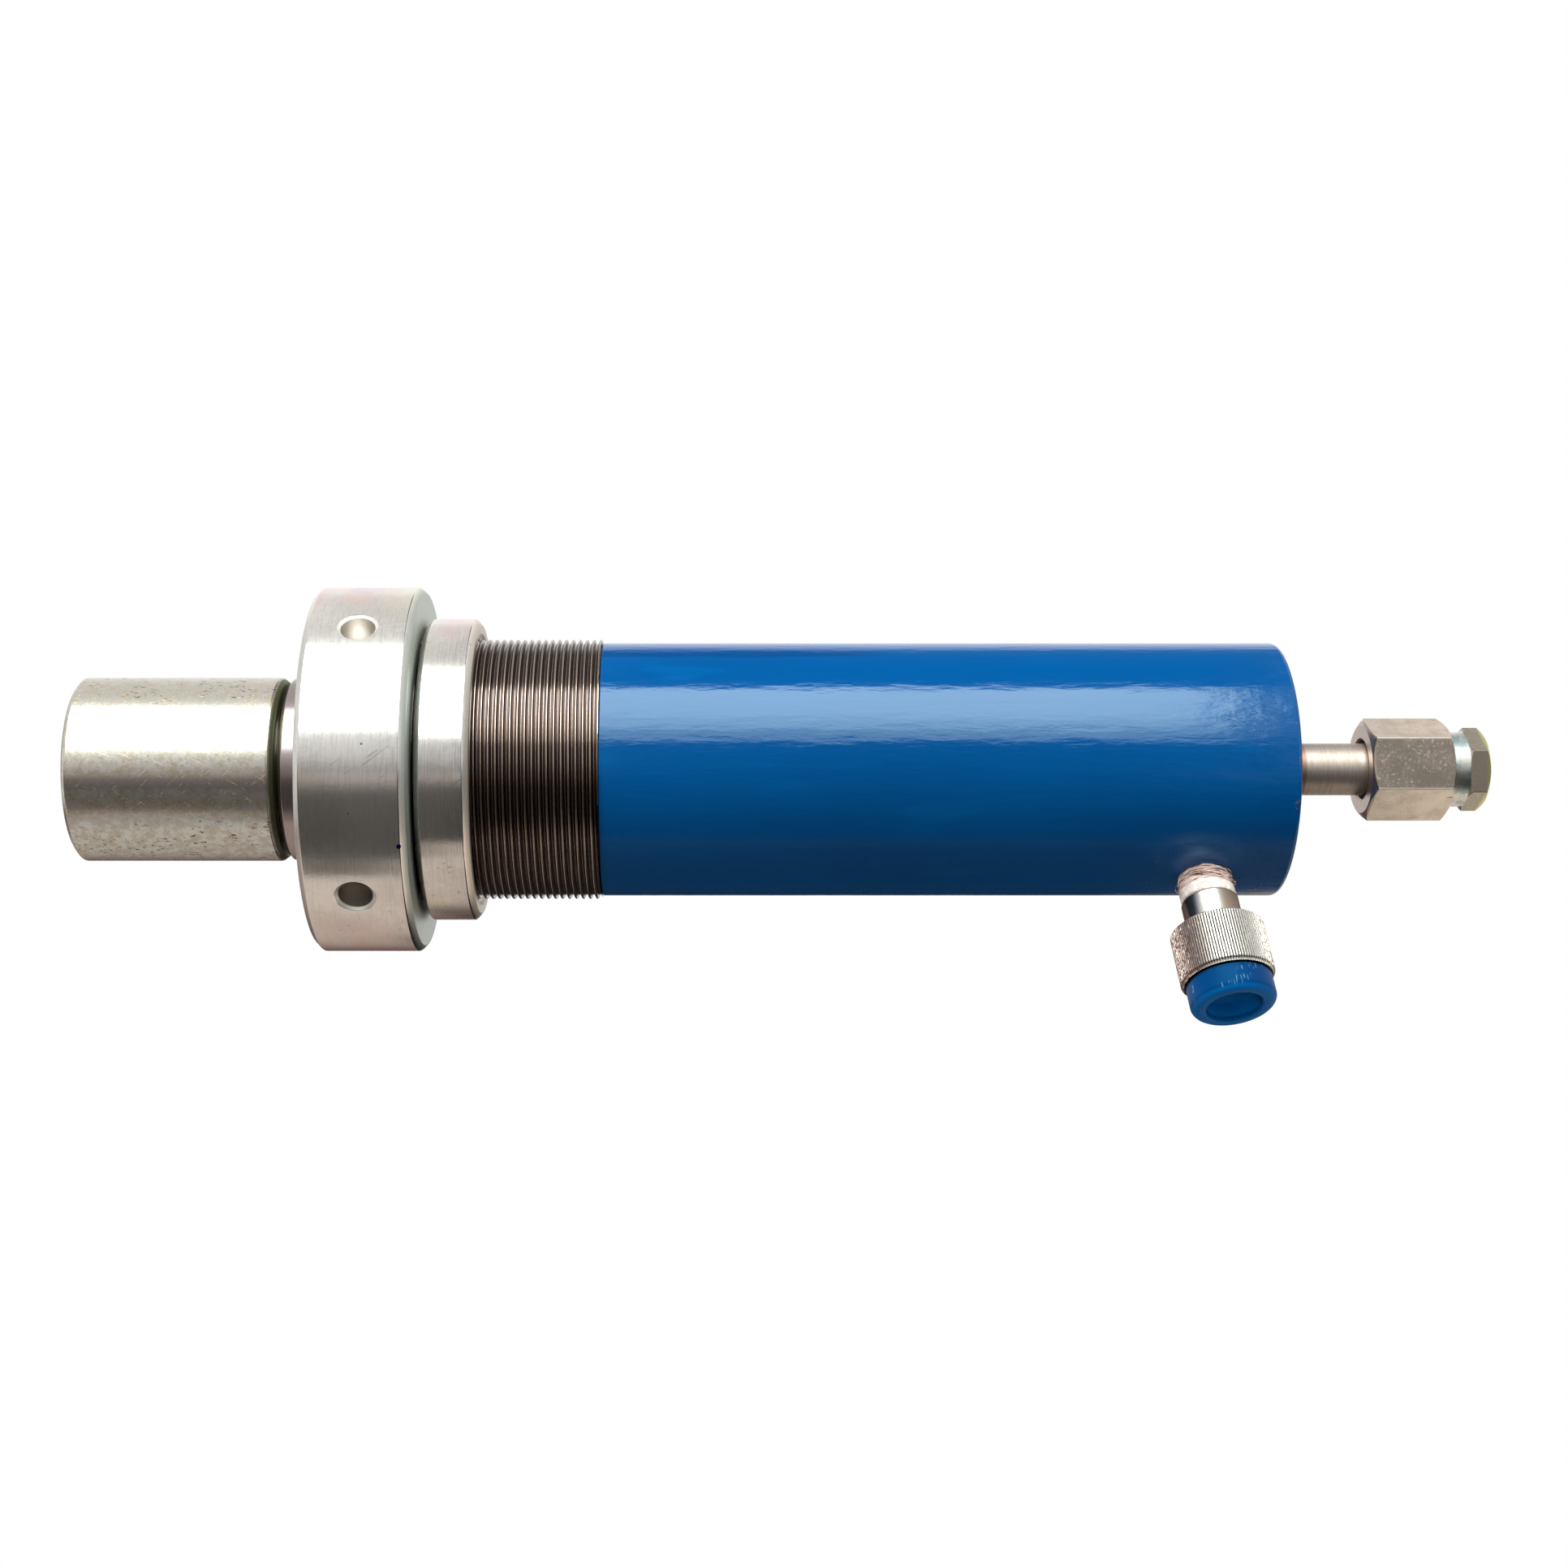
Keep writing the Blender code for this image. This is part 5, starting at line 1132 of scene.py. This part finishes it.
def blackPaper(s, along, away):  # darkest across from the barrel, warm at its near edge beside the ring nut
    near = s.ramp(along, -0.140, -0.155) + s.band(along, *studio["capGlow"])
    clear = s.ramp(along, -0.02, -0.045) + s.ramp(along, 0.42, 0.46) * 0.6
    colour = s.mix(clear, "shade", s.mix(s.ramp(away, 0.12, 0.50), "black", "grey"))
    return s.mix(near * s.ramp(away, -0.375, -0.385), colour, "warm")


def warmPaper(s, along, away):  # dark below the barrel and the rod cap, pale at the union
    colour = s.mix(s.ramp(away, 0.25, -0.22), "warm", "far")
    colour = s.mix(s.band(along, *studio["barrelShade"]), colour, "deep")
    colour = s.mix(s.ramp(along, -0.085, -0.070) * s.ramp(away, 0.22, 0.08) * 0.7, colour, "shade")
    return s.mix(s.ramp(along, *studio["endGlow"]) * 0.85, colour, "pale")


def makeCard(name, paper):  # seen only in reflections
    near, far = (Vector((0, *edge)) for edge in studio[name])
    slope = math.atan2(far.z - near.z, far.y - near.y)
    bpy.ops.object.select_all(action="DESELECT")
    bpy.ops.mesh.primitive_plane_add(size=1, location=(near + far) / 2, rotation=(slope, 0, 0))
    bpy.ops.transform.resize(value=(studio["cardWidth"], (far - near).length, 1), orient_type="LOCAL")
    card = bpy.context.object
    card.name = name
    card.visible_camera = card.visible_shadow = False
    card.visible_diffuse = name == "blackCard"
    s = newShader(name, cardLook)
    colour = paper(s, s.part("X") * studio["cardWidth"], s.part("Y"))
    card.data.materials.append(s.show(s.add("ShaderNodeBsdfDiffuse", {}, {"Color": colour})))


def makeCamera():
    data = bpy.data.cameras.new("ramCamera")
    data.lens = view["lens"]
    data.sensor_width = view["sensor"]
    data.shift_x = view["shiftX"]
    data.shift_y = view["shiftY"]
    data.clip_start = view["nearest"]
    data.clip_end = view["farthest"]
    camera = bpy.data.objects.new("ramCamera", data)
    bpy.context.scene.collection.objects.link(camera)
    camera.location = (view["x"], -view["distance"], 0)
    camera.rotation_euler = (math.pi / 2, 0, 0)
    bpy.context.scene.camera = camera


def makeLights():
    st = studio
    width = st["boxRight"] - st["boxLeft"]
    for low, high, radiance in st["strips"]:
        height = 2 * st["boxReach"] * math.tan(math.radians(high - low) / 2)
        lift = math.radians((low + high) / 2)
        lamp = bpy.data.lights.new("softbox", "AREA")
        lamp.shape = "RECTANGLE"
        lamp.color = st["lampColour"]
        lamp.size = width
        lamp.size_y = height
        lamp.energy = radiance * math.pi * width * height
        strip = bpy.data.objects.new("softbox", lamp)
        bpy.context.scene.collection.objects.link(strip)
        strip.location = ((st["boxLeft"] + st["boxRight"]) / 2, -st["boxReach"] * math.cos(lift),
                          st["boxReach"] * math.sin(lift))
        strip.rotation_euler = (math.pi / 2 - lift, 0, 0)


def roomLight(world, around, levels):  # the levels follow the angle over the lens axis
    stops = [((angle + 180) / 360, tuple(level * tint for tint in studio["roomTint"]))
             for angle, level in levels]
    return world.add("ShaderNodeValToRGB", {"stops": stops}, {0: around})


def makeWorld():
    world = Shader(bpy.data.worlds.new("studioWorld"), coordinates="Generated")
    bpy.context.scene.world = world.owner
    along, sideways, upwards = (world.part(axis) for axis in "XYZ")
    around = world.maths("ARCTAN2", upwards, sideways * -1) / math.tau + 0.5
    beside = world.band(along, *studio["dimPart"])
    bright, dim = (roomLight(world, around, studio[levels]) for levels in ("room", "dimRoom"))
    room = world.mix(beside, bright, dim)
    beam = world.band(around, *studio["beamHeight"]) * world.ramp(along, *studio["beamEnd"]) * beside
    behind = world.ramp(sideways, 0.70, 0.88)
    white = showWhite(world, behind * (1 - beam))
    colour = world.mix(white, world.mix(beam, room, studio["beamColour"]), (1, 1, 1))
    light = world.add("ShaderNodeBackground", {}, {"Color": colour, "Strength": 1.0})
    world.show(light, "ShaderNodeOutputWorld")


def makeFloor():
    bpy.ops.object.select_all(action="DESELECT")
    bpy.ops.mesh.primitive_plane_add(size=studio["floorSize"], location=(0, 0, -studio["floorDepth"]))
    floor = bpy.context.object
    floor.name = "studioFloor"
    s = newShader("paleFloor")
    pale = s.add("ShaderNodeBsdfDiffuse", {}, {"Color": studio["floorColour"]})
    white = s.add("ShaderNodeEmission", {}, {"Color": (1, 1, 1), "Strength": 1.0})
    back = s.ramp(s.part("Y"), studio["backFrom"], studio["backFull"])
    away = s.ramp(s.measure("LENGTH", s.where), studio["whiteFrom"], studio["whiteFull"])
    both = s.add("ShaderNodeMixShader", {}, {0: away * showWhite(s, back), 1: pale, 2: white})
    floor.data.materials.append(s.show(both))


makeCamera()
makeLights()
makeWorld()
makeFloor()
makeCard("blackCard", blackPaper)
makeCard("warmCard", warmPaper)
bpy.context.scene.view_settings.view_transform = "Standard"
print("studio ready")
makeRodCap()
makePlunger()
print("rod ready")
makeRingNut()
makeLockRing()
print("ring nuts ready")
makeCollar()
makeWiper()
print("collar ready")
makeBarrel()
makeBase()
print("barrel ready")
makePipe()
makeUnionNut()
makePlug()
print("union ready")
makeCouplerBody()
makeHemp()
makeTape()
makeSleeve()
makeDustCap()
print("coupler ready")
finishInnerNodes()
